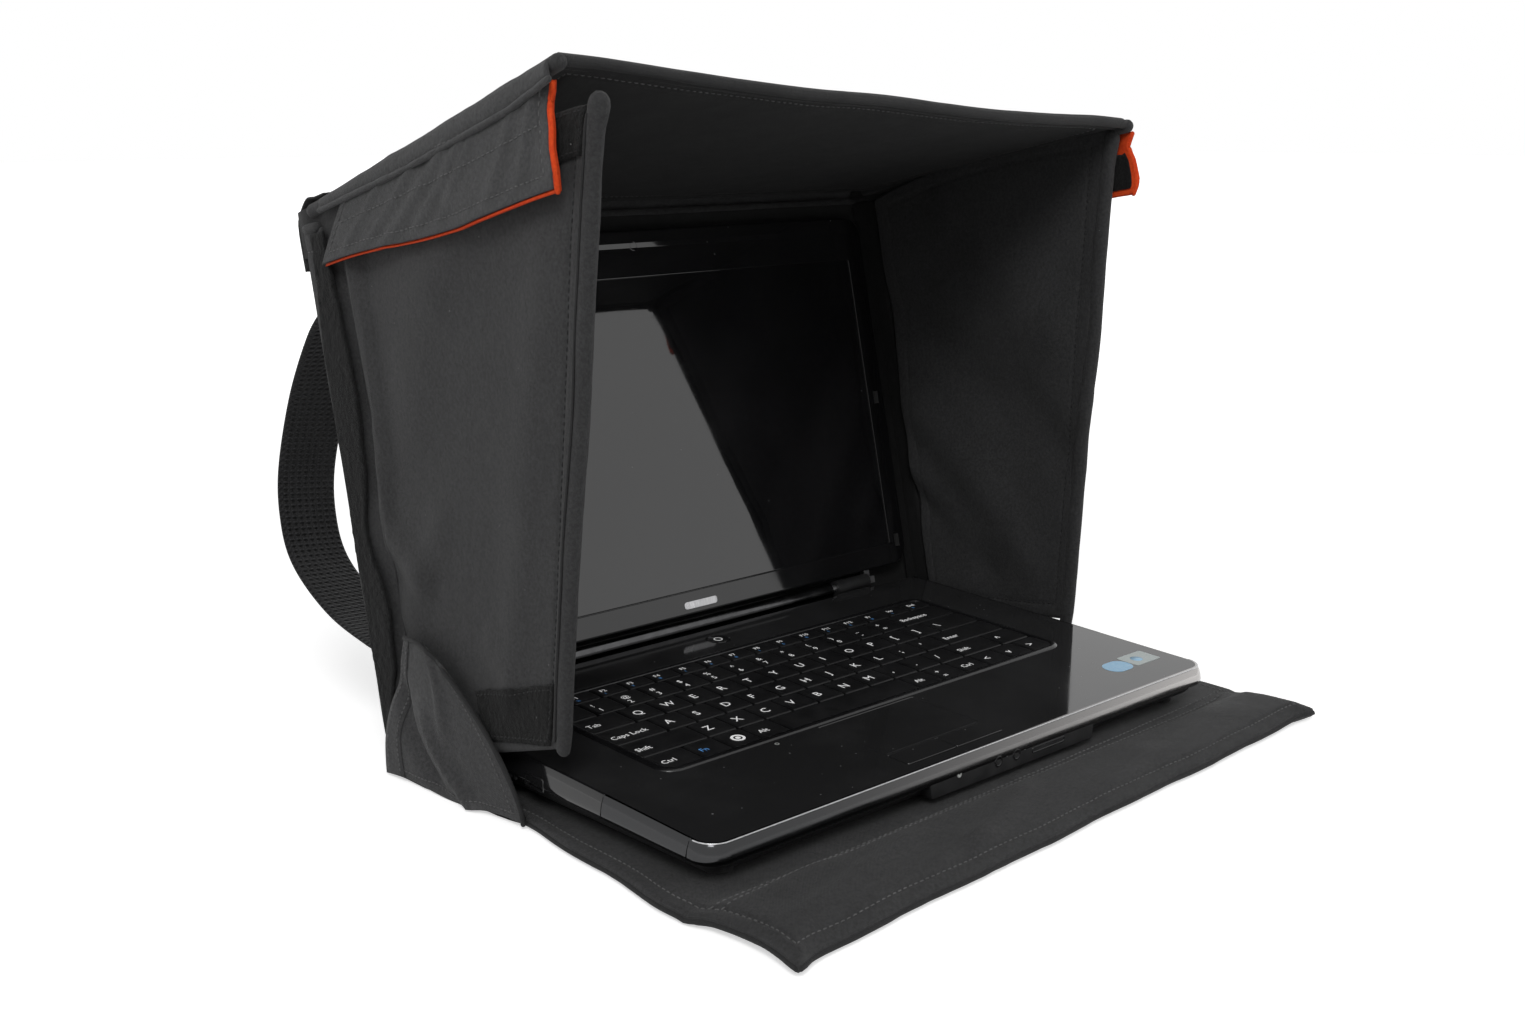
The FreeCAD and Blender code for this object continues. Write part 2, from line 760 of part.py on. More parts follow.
def lens(name, radius, length, start):
    """A short round piece square to the lid, at the middle of the upper bezel."""
    bar = doc.addObject("Part::Cylinder", name)
    bind(bar, "Radius", radius)
    bind(bar, "Height", length)
    back, up = LID.point(start, 221)
    turn = FreeCAD.Rotation(FreeCAD.Vector(1, 0, 0), -90 - DIMENSIONS["recline"])
    bar.Placement = FreeCAD.Placement(FreeCAD.Vector(0, back.value, up.value), turn)
    bind(bar, "Placement.Base.y", back)
    bind(bar, "Placement.Base.z", up)
    return bar


# ---------------------------------------------------------------- inside the laptop

def internals():
    floor = dim("case_floor_height")
    inside = floor + dim("case_wall") + FIT
    keep("battery_pack", slab("battery_pack", ROW, both(105.5), (62, 101), (floor, floor + 14)))
    latch_foot = slab("latch_foot", ROW, (120, 134), (66.5, 75.5), (floor, inside))
    latch_plate = slab("latch_plate", ROW, (117, 139), (64, 78), (inside, inside + 1.5))
    keep("battery_latch", fuse("battery_latch", [latch_foot, latch_plate]))
    keep("hard_drive", slab("hard_drive", ROW, (-170, -70), (-108, -38), (inside, inside + 9.5)))
    keep("optical_drive", slab("optical_drive", ROW, (50, 178), (-90, 39), (inside, inside + 9.5)))
    keep("main_board", slab("main_board", ROW, (-176, 45), (-30, 50), (inside + 3, inside + 4.6)))
    ring = slab("fan_case", ROW, (-172, -118), (53, 103), (inside, inside + 11))
    well = upright("fan_well", -145, 78, 23, inside + 1.5, 12)
    keep("fan_housing", cut("fan_housing", ring, [well]))
    hub = upright("fan_hub", -145, 78, 8, inside + 2.5, 7)
    blades = [fan_blade(index, inside + 3) for index in range(FAN_BLADES)]
    keep("fan_rotor", fuse("fan_rotor", [hub] + blades))
    pipe = slab("heat_pipe", ROW, (-116, -60), (53, 59), (inside + 5, inside + 8))
    sink = slab("sink_block", ROW, (-116, -110), (53, 100), (inside + 1, inside + 10))
    keep("heat_sink", fuse("heat_sink", [pipe, sink]))
    feet = [
        upright(f"foot_{side}_{row_name}", sign * 165, y, 7, dim("panel_thickness") + FIT, 2.8)
        for side, sign in SIDES
        for row_name, y in (("front", -98), ("rear", 92))
    ]
    keep("rubber_feet", group("rubber_feet", feet))


FAN_BLADES = 9


def fan_blade(index, low):
    blade = doc.addObject("Part::Box", f"blade_{index}")
    bind(blade, "Length", 15)
    bind(blade, "Width", 1)
    bind(blade, "Height", 6)
    angle = 360 / FAN_BLADES * index
    reach = FreeCAD.Rotation(FreeCAD.Vector(0, 0, 1), angle).multVec(FreeCAD.Vector(7, 0, 0))
    start = FreeCAD.Vector(-145, 78, low.value) + reach
    blade.Placement = FreeCAD.Placement(start, FreeCAD.Rotation(FreeCAD.Vector(0, 0, 1), angle + 15))
    bind(blade, "Placement.Base.z", low)
    return blade


def upright(name, x, y, radius, low, length):
    """A round bar standing on Z."""
    bar = doc.addObject("Part::Cylinder", name)
    bind(bar, "Radius", radius)
    bind(bar, "Height", length)
    place(bar, ROW, x, y, low)
    return bar


# ---------------------------------------------------------------- build

def build():
    make_sheet()
    base_and_apron()
    back_panel()
    loop_strips()
    roof_panel()
    strap_loop()
    for side, sign in SIDES:
        side_panel(side, sign)
        side_hem(side, sign)
        hook_patches(side, sign)
        gusset(side, sign)
        roof_flap(side, sign)
    bottom_case()
    audio_jacks()
    deck_plate()
    edge_trim()
    keyboard_tray()
    keys()
    touchpad()
    hinge_parts()
    lid()
    internals()
    doc.recompute()


def check():
    for item in doc.Objects:
        if "Invalid" in item.State or "Error" in item.State:
            raise RuntimeError(f"{item.Label} did not build: {item.State}")
    for node, item in PARTS.items():
        if item.Shape.isNull() or not item.Shape.isValid() or not item.Shape.Solids:
            raise RuntimeError(f"{node} has no valid solid")


def export():
    os.makedirs("parts", exist_ok=True)
    for node, item in PARTS.items():
        item.Shape.exportStep(f"parts/{node}.step")


build()
check()
export()
print(len(PARTS), "parts")
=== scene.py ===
"""Looks of a folding laptop hood, opened round a laptop.  Shapes are worked out in mm and made in metres."""
import json
import math

import bmesh
import bpy
import numpy as np
from mathutils import Matrix, Vector
from mathutils.geometry import tessellate_polygon


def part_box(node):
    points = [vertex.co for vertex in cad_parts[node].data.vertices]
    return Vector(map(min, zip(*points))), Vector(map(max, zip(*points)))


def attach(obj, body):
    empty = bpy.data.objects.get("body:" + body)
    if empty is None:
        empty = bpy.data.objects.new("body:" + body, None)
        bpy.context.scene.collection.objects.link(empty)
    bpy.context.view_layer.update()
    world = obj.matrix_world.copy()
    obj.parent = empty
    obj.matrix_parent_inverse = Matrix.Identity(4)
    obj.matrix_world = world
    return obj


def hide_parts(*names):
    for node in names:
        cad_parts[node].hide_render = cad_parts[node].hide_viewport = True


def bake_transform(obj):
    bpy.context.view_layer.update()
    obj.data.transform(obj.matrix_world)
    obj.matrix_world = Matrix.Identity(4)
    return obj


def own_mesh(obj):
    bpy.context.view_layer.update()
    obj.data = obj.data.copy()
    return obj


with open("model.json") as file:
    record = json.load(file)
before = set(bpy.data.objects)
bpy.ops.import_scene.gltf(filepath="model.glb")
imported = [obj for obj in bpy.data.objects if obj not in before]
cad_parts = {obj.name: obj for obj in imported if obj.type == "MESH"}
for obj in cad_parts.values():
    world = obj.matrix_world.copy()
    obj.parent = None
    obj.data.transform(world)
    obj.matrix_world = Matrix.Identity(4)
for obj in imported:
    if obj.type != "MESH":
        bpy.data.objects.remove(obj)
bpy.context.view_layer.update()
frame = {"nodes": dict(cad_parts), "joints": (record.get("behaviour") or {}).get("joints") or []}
JOINTS = {j["name"]: j for j in frame["joints"]}
NODES = frame["nodes"]
MM = 0.001
TAU = 2 * math.pi


# ---------------------------------------------------------------- frames

def pivot(joint):
    return np.array(JOINTS[joint]["pos_m"]) * 1000


def axis(joint):
    vector = np.array(JOINTS[joint]["axis"], float)
    return vector / np.linalg.norm(vector)


def box(node):
    low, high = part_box(node)
    return np.array(low) * 1000, np.array(high) * 1000


class Tilted:
    """A frame turned about X.  Along runs towards the back, above is square to it."""

    def __init__(self, origin, up):
        self.origin = np.array([0, origin[1], origin[2]], float)
        self.up = np.array([0, up[1], up[2]], float) / math.hypot(up[1], up[2])
        self.back = np.array([0, self.up[2], -self.up[1]])

    def at(self, x, along, above):
        x, along, above = np.broadcast_arrays(*[np.asarray(v, float) for v in (x, along, above)])
        right = np.array([1.0, 0, 0])
        return self.origin + x[..., None] * right + along[..., None] * self.back + above[..., None] * self.up

    def locate(self, point):
        """Along and above of a row-frame point."""
        offset = np.asarray(point, float) - self.origin
        return offset @ self.back, offset @ self.up


LEAN = axis("side_right_swing")
SIDE_SETBACK = 20.5   # the side panels' hinge lies this far in front of the back panel's own line
DECK_DEPTH = 221      # glossy plate, front to back
BACK = Tilted([0, 0, 0], LEAN)
BACK.origin = np.array([0, *pivot("side_left_swing")[1:]]) + SIDE_SETBACK * BACK.back
ROOF_BACK = axis("flap_left_fold")
ROOF = Tilted(pivot("roof_lift"), [0, -ROOF_BACK[2], ROOF_BACK[1]])
LID = Tilted(pivot("lid_hinge"), LEAN)
DECK = Tilted([0, 0, 0], -axis("keys_home_row_press"))
TRIM_LOW, TRIM_HIGH = box("edge_trim")
DECK.origin = np.array([0, TRIM_LOW[1], box("deck_cover")[1][2] - DECK.back[2] * DECK_DEPTH])


# ---------------------------------------------------------------- numbers

def ease(t):
    t = np.clip(t, 0, 1)
    return t * t * (3 - 2 * t)


def mound(distance, width):
    return np.exp(-(np.asarray(distance, float) / width) ** 2)


def hump(share):
    """Half a sine wave, 0 at both ends."""
    return np.sin(math.pi * np.clip(share, 0, 1))


def points(x, y, z):
    """Row-frame points, or moves, from coordinates of which some may be single numbers."""
    return np.stack(np.broadcast_arrays(x, y, z), axis=-1)


def inside_of(u, v, width, height):
    """Distance in mm to the nearest edge of a sheet, from shares across and up it."""
    return np.minimum(np.minimum(u, 1 - u) * width, np.minimum(v, 1 - v) * height)


def rounding(inside, rim):
    """Quarter-round rise from 0 at an edge to 1 at rim mm inside it."""
    return np.sqrt(np.clip(1 - (1 - np.clip(inside / rim, 0, 1)) ** 2, 0, 1))


def quad(corners, u, v):
    """Points between four corners at grids of shares u and v."""
    a, b, c, d = corners
    u, v = u[..., None], v[..., None]
    return (a * (1 - u) + b * u) * (1 - v) + (c * (1 - u) + d * u) * v


def lumps(spots, size, seed):
    """Smooth noise from -1 to 1 at points, with cells of the given size in mm."""
    spot = np.asarray(spots, float) / size + seed * 17.31
    cell = np.floor(spot).astype(np.int64)
    part = spot - cell
    part = part * part * (3 - 2 * part)
    total = 0
    for corner in range(8):
        step = np.array([corner & 1, corner >> 1 & 1, corner >> 2])
        key = ((cell + step) * np.array([73856093, 19349663, 83492791])).sum(-1)
        key = (key ^ (key >> 13)) * 1274126177
        key = key ^ (key >> 16)
        weight = np.prod(np.where(step == 1, part, 1 - part), axis=-1)
        total = total + weight * ((key & 0xFFFF) / 32767.5 - 1)
    return total


def running(path):
    """Distance along a path at each of its points."""
    return np.concatenate([[0], np.cumsum(np.linalg.norm(np.diff(path, axis=0), axis=1))])


def pick(path, run, where):
    return np.stack([np.interp(where, run, path[:, k]) for k in range(path.shape[1])], axis=1)


def resample(path, count):
    path = np.asarray(path, float)
    run = running(path)
    return pick(path, run, np.linspace(0, run[-1], count))


def run_length(path):
    return float(np.linalg.norm(np.diff(np.asarray(path, float), axis=0), axis=1).sum())


def smooth_path(corners, count):
    """A Catmull-Rom curve through points, evenly sampled."""
    p = np.asarray(corners, float)
    ends = np.vstack([2 * p[0] - p[1], p, 2 * p[-1] - p[-2]])
    t = np.linspace(0, 1, 24, endpoint=False)[:, None]
    out = []
    for i in range(len(p) - 1):
        a, b, c, d = ends[i:i + 4]
        out.append(0.5 * (2 * b + (c - a) * t + (2 * a - 5 * b + 4 * c - d) * t**2
                          + (3 * b - a - 3 * c + d) * t**3))
    return resample(np.vstack(out + [p[-1:]]), count)


def stations(length, step, seams=(), rim=5):
    """Places across a sheet, closer together at its edges and beside each seam, as shares of its length."""
    curl = rim * (1 - np.cos(np.linspace(0, math.pi / 2, 5)))
    places = [curl, length - curl, np.linspace(rim, length - rim, max(3, int((length - 2 * rim) / step)))]
    for seam in seams:
        near = seam + np.array([-2.2, -1.1, 0, 1.1, 2.2])
        places += [near, length - near]
    every = np.unique(np.round(np.clip(np.concatenate(places), 0, length), 3))
    kept = [every[0]]
    for value in every[1:]:
        if value - kept[-1] > 0.35:
            kept.append(value)
    kept[-1] = length
    return np.array(kept) / length


# ---------------------------------------------------------------- meshes

def make_mesh(name, verts, faces, finish, body=None, uv=None, smooth=True, slot_name=None, marks=None):
    """A mesh object from millimetre vertices; marks gives a material index to each face."""
    mesh = bpy.data.meshes.new(name)
    mesh.from_pydata((np.asarray(verts, float) * MM).tolist(), [], [list(map(int, f)) for f in faces])
    mesh.update()
    obj = bpy.data.objects.new(name, mesh)
    bpy.context.scene.collection.objects.link(obj)
    for one in finish if isinstance(finish, (list, tuple)) else [finish]:
        mesh.materials.append(one)
    mesh.polygons.foreach_set("use_smooth", [smooth] * len(mesh.polygons))
    if marks is not None:
        mesh.polygons.foreach_set("material_index", marks)
    if uv is not None:
        corner = np.zeros(len(mesh.loops), np.int32)
        mesh.loops.foreach_get("vertex_index", corner)
        layer = mesh.uv_layers.new(name="UVMap")
        layer.data.foreach_set("uv", (np.asarray(uv, float)[corner] * MM).astype(np.float32).ravel())
    if body:
        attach(obj, body)
    return obj


def grid_faces(rows, columns, start=0, flip=False):
    index = np.arange(rows * columns).reshape(rows, columns) + start
    quads = np.stack([index[:-1, :-1], index[:-1, 1:], index[1:, 1:], index[1:, :-1]], axis=-1).reshape(-1, 4)
    return quads[:, ::-1] if flip else quads


def flipped(made):
    verts, faces = made
    return verts, [face[::-1] for face in faces]


def merge(parts):
    """Several (verts, faces) as one."""
    verts, faces, count = [], [], 0
    for v, f in parts:
        verts.append(np.asarray(v, float))
        faces += [[i + count for i in face] for face in f]
        count += len(v)
    return np.vstack(verts), faces


class Sheet:
    """A closed piece of cloth on a grid.  Places on it are in mm across (u) and up (v) from one corner."""

    def __init__(self, across, up, middle, half, width, height):
        self.us, self.vs = across * width, up * height
        self.width, self.height = width, height
        normal = np.cross(np.gradient(middle, axis=1), np.gradient(middle, axis=0))
        self.normal = normal / np.maximum(np.linalg.norm(normal, axis=-1, keepdims=True), 1e-9)
        self.half = half
        self.front = middle + self.normal * half[..., None]
        self.rear = middle - self.normal * half[..., None]

    def faces(self):
        rows, columns = self.half.shape
        count = rows * columns
        quads = [*grid_faces(rows, columns).tolist(), *grid_faces(rows, columns, count, True).tolist()]
        index = np.arange(count).reshape(rows, columns)
        rim = np.concatenate([index[0, :-1], index[:-1, -1], index[-1, :0:-1], index[:0:-1, 0]])
        return quads + [[b, a, a + count, b + count] for a, b in zip(rim, np.roll(rim, -1))]

    def verts(self):
        return np.vstack([self.front.reshape(-1, 3), self.rear.reshape(-1, 3)])

    def uv(self):
        u, v = np.meshgrid(self.us, self.vs)
        flat = np.stack([u.ravel(), v.ravel()], axis=1)
        return np.vstack([flat, flat + [self.width * 1.3, 0]])

    def build(self, name, finish, body=None, slot_name="nylon_outer", stands_for=()):
        """A finish given as a pair puts the second one on the rear face."""
        faces, marks = self.faces(), None
        if isinstance(finish, tuple):
            count = (self.half.shape[0] - 1) * (self.half.shape[1] - 1)
            marks = [0] * count + [1] * count + [0] * (len(faces) - 2 * count)
        piece = make_mesh(name, self.verts(), faces, finish, body, self.uv(), slot_name=slot_name,
                          marks=marks)
        if stands_for:
            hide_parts(*stands_for)
        return piece

    def at(self, u, v, face="front"):
        """Points and outward normals at places on one face."""
        u = np.clip(np.asarray(u, float), 0, self.width)
        v = np.clip(np.asarray(v, float), 0, self.height)
        i = np.clip(np.searchsorted(self.us, u) - 1, 0, len(self.us) - 2)
        j = np.clip(np.searchsorted(self.vs, v) - 1, 0, len(self.vs) - 2)
        s = ((u - self.us[i]) / (self.us[i + 1] - self.us[i]))[:, None]
        t = ((v - self.vs[j]) / (self.vs[j + 1] - self.vs[j]))[:, None]

        def mix(g):
            low = g[j, i] * (1 - s) + g[j, i + 1] * s
            high = g[j + 1, i] * (1 - s) + g[j + 1, i + 1] * s
            return low * (1 - t) + high * t
        return (mix(self.front), mix(self.normal)) if face == "front" else (mix(self.rear), -mix(self.normal))

    def row(self, v, u0, u1, count):
        """Points on the front face from u0 to u1 at one height."""
        return self.at(np.linspace(u0, u1, count), [v] * count)[0]

    def column(self, u, v0, v1, count):
        """Points on the front face from v0 to v1 at one place across."""
        return self.at([u] * count, np.linspace(v0, v1, count))[0]


def panel(corners, thick, step=4.5, rim=3.0, edge=0.7, seams=(), groove=0.5, shift=None, bow=None, ripple=1.0,
          seed=1):
    """A padded sheet between four corners: start, end of the first side, then the same for the far side.
    shift(u, v, width, height) moves the middle along its normal; bow(u, v) gives a move in the row frame."""
    a, b, c, d = corners = [np.asarray(p, float) for p in corners]
    width = (np.linalg.norm(b - a) + np.linalg.norm(d - c)) / 2
    height = (np.linalg.norm(c - a) + np.linalg.norm(d - b)) / 2
    across = stations(width, step, seams, rim)
    up = stations(height, step, seams, rim)
    u, v = np.meshgrid(across, up)
    middle = quad(corners, u, v)
    if bow is not None:
        middle = middle + bow(u, v)
    flat = np.cross(b - a, c - a)
    flat /= np.linalg.norm(flat)
    inside = inside_of(u, v, width, height)
    waves = 0.55 * lumps(middle, 46, seed) + 0.3 * lumps(middle, 19, seed + 1)
    lift = ripple * waves * (0.45 + 0.55 * ease(inside / 25))
    if shift is not None:
        lift = lift + shift(u * width, v * height, width, height)
    middle = middle + flat * np.asarray(lift)[..., None]
    half = edge + (thick / 2 - edge) * rounding(inside, rim)
    for seam in seams:
        half = half - groove * mound(inside - seam, 1.5)
    half = half + 0.12 * lumps(middle, 6, seed + 2) * ease(inside / 4)
    return Sheet(across, up, middle, np.maximum(half, 0.3), width, height)


def fold_lines(lines):
    """A shift made of soft creases, each (u0, v0, u1, v1, width, height) in mm."""
    def shift(u, v, width=0, height=0):
        total = np.zeros_like(u)
        for u0, v0, u1, v1, spread, rise in lines:
            du, dv = u1 - u0, v1 - v0
            length = math.hypot(du, dv)
            t = ((u - u0) * du + (v - v0) * dv) / length**2
            off = ((u - u0) * dv - (v - v0) * du) / length
            total += rise * mound(off, spread) * ease(t / 0.25 + 0.2) * ease((1 - t) / 0.25 + 0.2)
        return total
    return shift


def loft(rings, closed=True):
    """(verts, faces) through rings of the same length, with a flat face over each end when closed."""
    rings = [np.asarray(r, float) for r in rings]
    index = np.arange(len(rings) * len(rings[0])).reshape(len(rings), -1)
    right = np.roll(index, -1, axis=1)
    faces = np.stack([index[:-1], right[:-1], right[1:], index[1:]], axis=-1).reshape(-1, 4).tolist()
    if closed:
        faces += [index[0][::-1].tolist(), index[-1].tolist()]
    return np.vstack(rings), faces


def tube(name, path, radius, finish, body=None, slot_name="nylon_outer", sides=12, flat=1.0, hint=(0, 0, 1),
         rough=0.0, seed=5, step=None):
    """A round or flattened cord along a path, with rounded ends."""
    path = np.asarray(path, float)
    if step:
        path = resample(path, max(4, int(run_length(path) / step)))
    radius = np.broadcast_to(np.asarray(radius, float), (len(path),)).copy()
    tangent = np.gradient(path, axis=0)
    tangent /= np.linalg.norm(tangent, axis=1, keepdims=True)
    across = np.cross(tangent, np.asarray(hint, float))
    across /= np.maximum(np.linalg.norm(across, axis=1, keepdims=True), 1e-9)
    over = np.cross(across, tangent)
    turn = np.linspace(0, math.pi / 2, 4)[1:]
    heads = [(path[0] - tangent[0] * radius[0] * math.sin(t), 0, radius[0] * math.cos(t) + 0.02)
             for t in turn[::-1]]
    tails = [(path[-1] + tangent[-1] * radius[-1] * math.sin(t), -1, radius[-1] * math.cos(t) + 0.02)
             for t in turn]
    rings = heads + [(path[i], i, radius[i]) for i in range(len(path))] + tails
    angles = np.linspace(0, TAU, sides, endpoint=False)
    verts, uv, run = [], [], 0.0
    last = rings[0][0]
    for centre, i, r in rings:
        run += np.linalg.norm(centre - last)
        last = centre
        verts.append(centre
                     + r * (np.cos(angles)[:, None] * across[i] + flat * np.sin(angles)[:, None] * over[i]))
        uv += [[a * r, run] for a in angles]
    verts = np.array(verts)
    if rough:
        centres = np.array([r[0] for r in rings])[:, None, :]
        verts = centres + (verts - centres) * (1 + rough * lumps(verts, 7, seed))[..., None]
    return make_mesh(name, *loft(verts), finish, body, uv, slot_name=slot_name)


THREADS = {}   # runs of stitches waiting to become one piece, by its name
SMALL = dict(pitch=2.6, length=1.9)   # the tighter stitches on tape and webbing


def stitch_run(path, normals, pitch=3.6, length=2.5, thread=0.4):
    """Sewing thread lying in short stitches along a path."""
    run, total = running(path), run_length(path)
    count = max(1, int(total / pitch))
    start = (np.arange(count) + 0.5) * total / count
    up = pick(normals, run, start)
    up /= np.linalg.norm(up, axis=1, keepdims=True)
    ahead = pick(path, run, start + 0.4) - pick(path, run, start - 0.4)
    ahead /= np.maximum(np.linalg.norm(ahead, axis=1, keepdims=True), 1e-9)
    side = np.cross(up, ahead)
    angles = np.linspace(0, TAU, 5, endpoint=False)
    rings = []
    section = [(-0.5, 0.15, -0.5), (-0.36, 0.8, 0.15), (0, 1, 0.35), (0.36, 0.8, 0.15), (0.5, 0.15, -0.5)]
    for share, size, rise in section:
        centre = pick(path, run, start + share * length)
        rings.append(np.stack([centre + up * thread * rise
                               + thread * size * (math.cos(a) * side + math.sin(a) * up)
                               for a in angles], axis=1))
    return merge([flipped(loft(stitch)) for stitch in np.stack(rings, axis=1)])


def sew(group, sheet, path, face="front", count=None, **how):
    """Adds a run of stitches on a sheet, through (u, v) places in mm, to a group that becomes one piece."""
    fine = resample(path, count or max(4, int(run_length(path) / 3)))
    THREADS.setdefault(group, []).append(stitch_run(*sheet.at(fine[:, 0], fine[:, 1], face), **how))


def outline_of(sheet, inset, sides="blrt"):
    """Runs of a seam inside a sheet's edges: b, l, r and t are its first, left, right and far sides."""
    low, right, far = inset, sheet.width - inset, sheet.height - inset
    runs = {"b": [(low, low), (right, low)], "t": [(low, far), (right, far)],
            "l": [(low, low), (low, far)], "r": [(right, low), (right, far)]}
    return [runs[s] for s in sides]


def place_threads(group, finish, body=None):
    verts, faces = merge(THREADS.pop(group))
    return make_mesh(group, verts, faces, finish, body, verts[:, :2], slot_name="nylon_outer")


# ---------------------------------------------------------------- hard shapes

PLAN, UPRIGHT = [0, 1], [0, 2]   # the two axes a pattern is laid on


def rounded(x0, x1, y0, y1, radius, grow=0.0, steps=6):
    """Points round a rectangle with rounded corners, as (n, 2)."""
    x0, x1, y0, y1 = x0 - grow, x1 + grow, y0 - grow, y1 + grow
    r = max(radius + grow, 0.05)
    out = []
    for cx, cy, first in ((x1 - r, y0 + r, -0.25), (x1 - r, y1 - r, 0), (x0 + r, y1 - r, 0.25),
                          (x0 + r, y0 + r, 0.5)):
        for k in range(steps + 1):
            a = TAU * (first + 0.25 * k / steps)
            out.append((cx + r * math.cos(a), cy + r * math.sin(a)))
    return np.array(out)


def about(x, y, half_x, half_y, radius, steps):
    """An outline round a centre, as a function of how far it has grown."""
    return lambda grow: rounded(x - half_x, x + half_x, y - half_y, y + half_y, radius, grow, steps)


def circle(x, y, count=28):
    turn = np.linspace(0, TAU, count, endpoint=False)
    return lambda radius: np.stack([x + radius * np.cos(turn), y + radius * np.sin(turn)], axis=1)


def tiers(where, outline, levels):
    """Rings for loft: outline(size) put in space by where(x, y, level), for each (size, level)."""
    return [where(*outline(size).T, level) for size, level in levels]


def hoop(rings):
    """(verts, faces) of a ring whose section closes on itself."""
    return loft(rings + rings[:1], False)


def plate(where, loops):
    """A flat face with holes.  The first loop is the outside; where(x, y) gives row-frame points."""
    flat = np.vstack(loops)
    polylines = [[Vector((p[0], p[1], 0)) for p in loop] for loop in loops]
    triangles = []
    for a, b, c in tessellate_polygon(polylines):
        p, q, r = flat[a], flat[b], flat[c]
        turn = (q[0] - p[0]) * (r[1] - p[1]) - (q[1] - p[1]) * (r[0] - p[0])
        if abs(turn) > 1e-9:
            triangles.append([a, b, c] if turn > 0 else [a, c, b])
    return where(flat[:, 0], flat[:, 1]), triangles


def weld(obj, distance=0.00001):
    work = bmesh.new()
    work.from_mesh(obj.data)
    bmesh.ops.remove_doubles(work, verts=work.verts, dist=distance)
    bmesh.ops.recalc_face_normals(work, faces=work.faces)
    work.to_mesh(obj.data)
    work.free()
    obj.data.polygons.foreach_set("use_smooth", [True] * len(obj.data.polygons))


def hard(name, made, finish, slot_name="case_black", body="laptop_base", angle=None, plan=None, welded=False,
         stands_for=(), **extra):
    """A laptop piece from (verts, faces).  With an angle, flat faces stay flat, bevels shade round."""
    verts, faces = made
    uv = None if plan is None else verts[:, plan]
    obj = make_mesh(name, verts, faces, finish, body, uv, slot_name=slot_name, **extra)
    if welded:
        weld(obj)
    if angle:
        obj.data.set_sharp_from_angle(angle=math.radians(angle))
        obj.modifiers.new("flat_faces", "WEIGHTED_NORMAL").keep_sharp = True
    if stands_for:
        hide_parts(*stands_for)
    return obj


# ---------------------------------------------------------------- finishes

SCREEN_HEIGHTS = (0.043, 0.216)   # from the foot of the visible screen to its head, above the floor


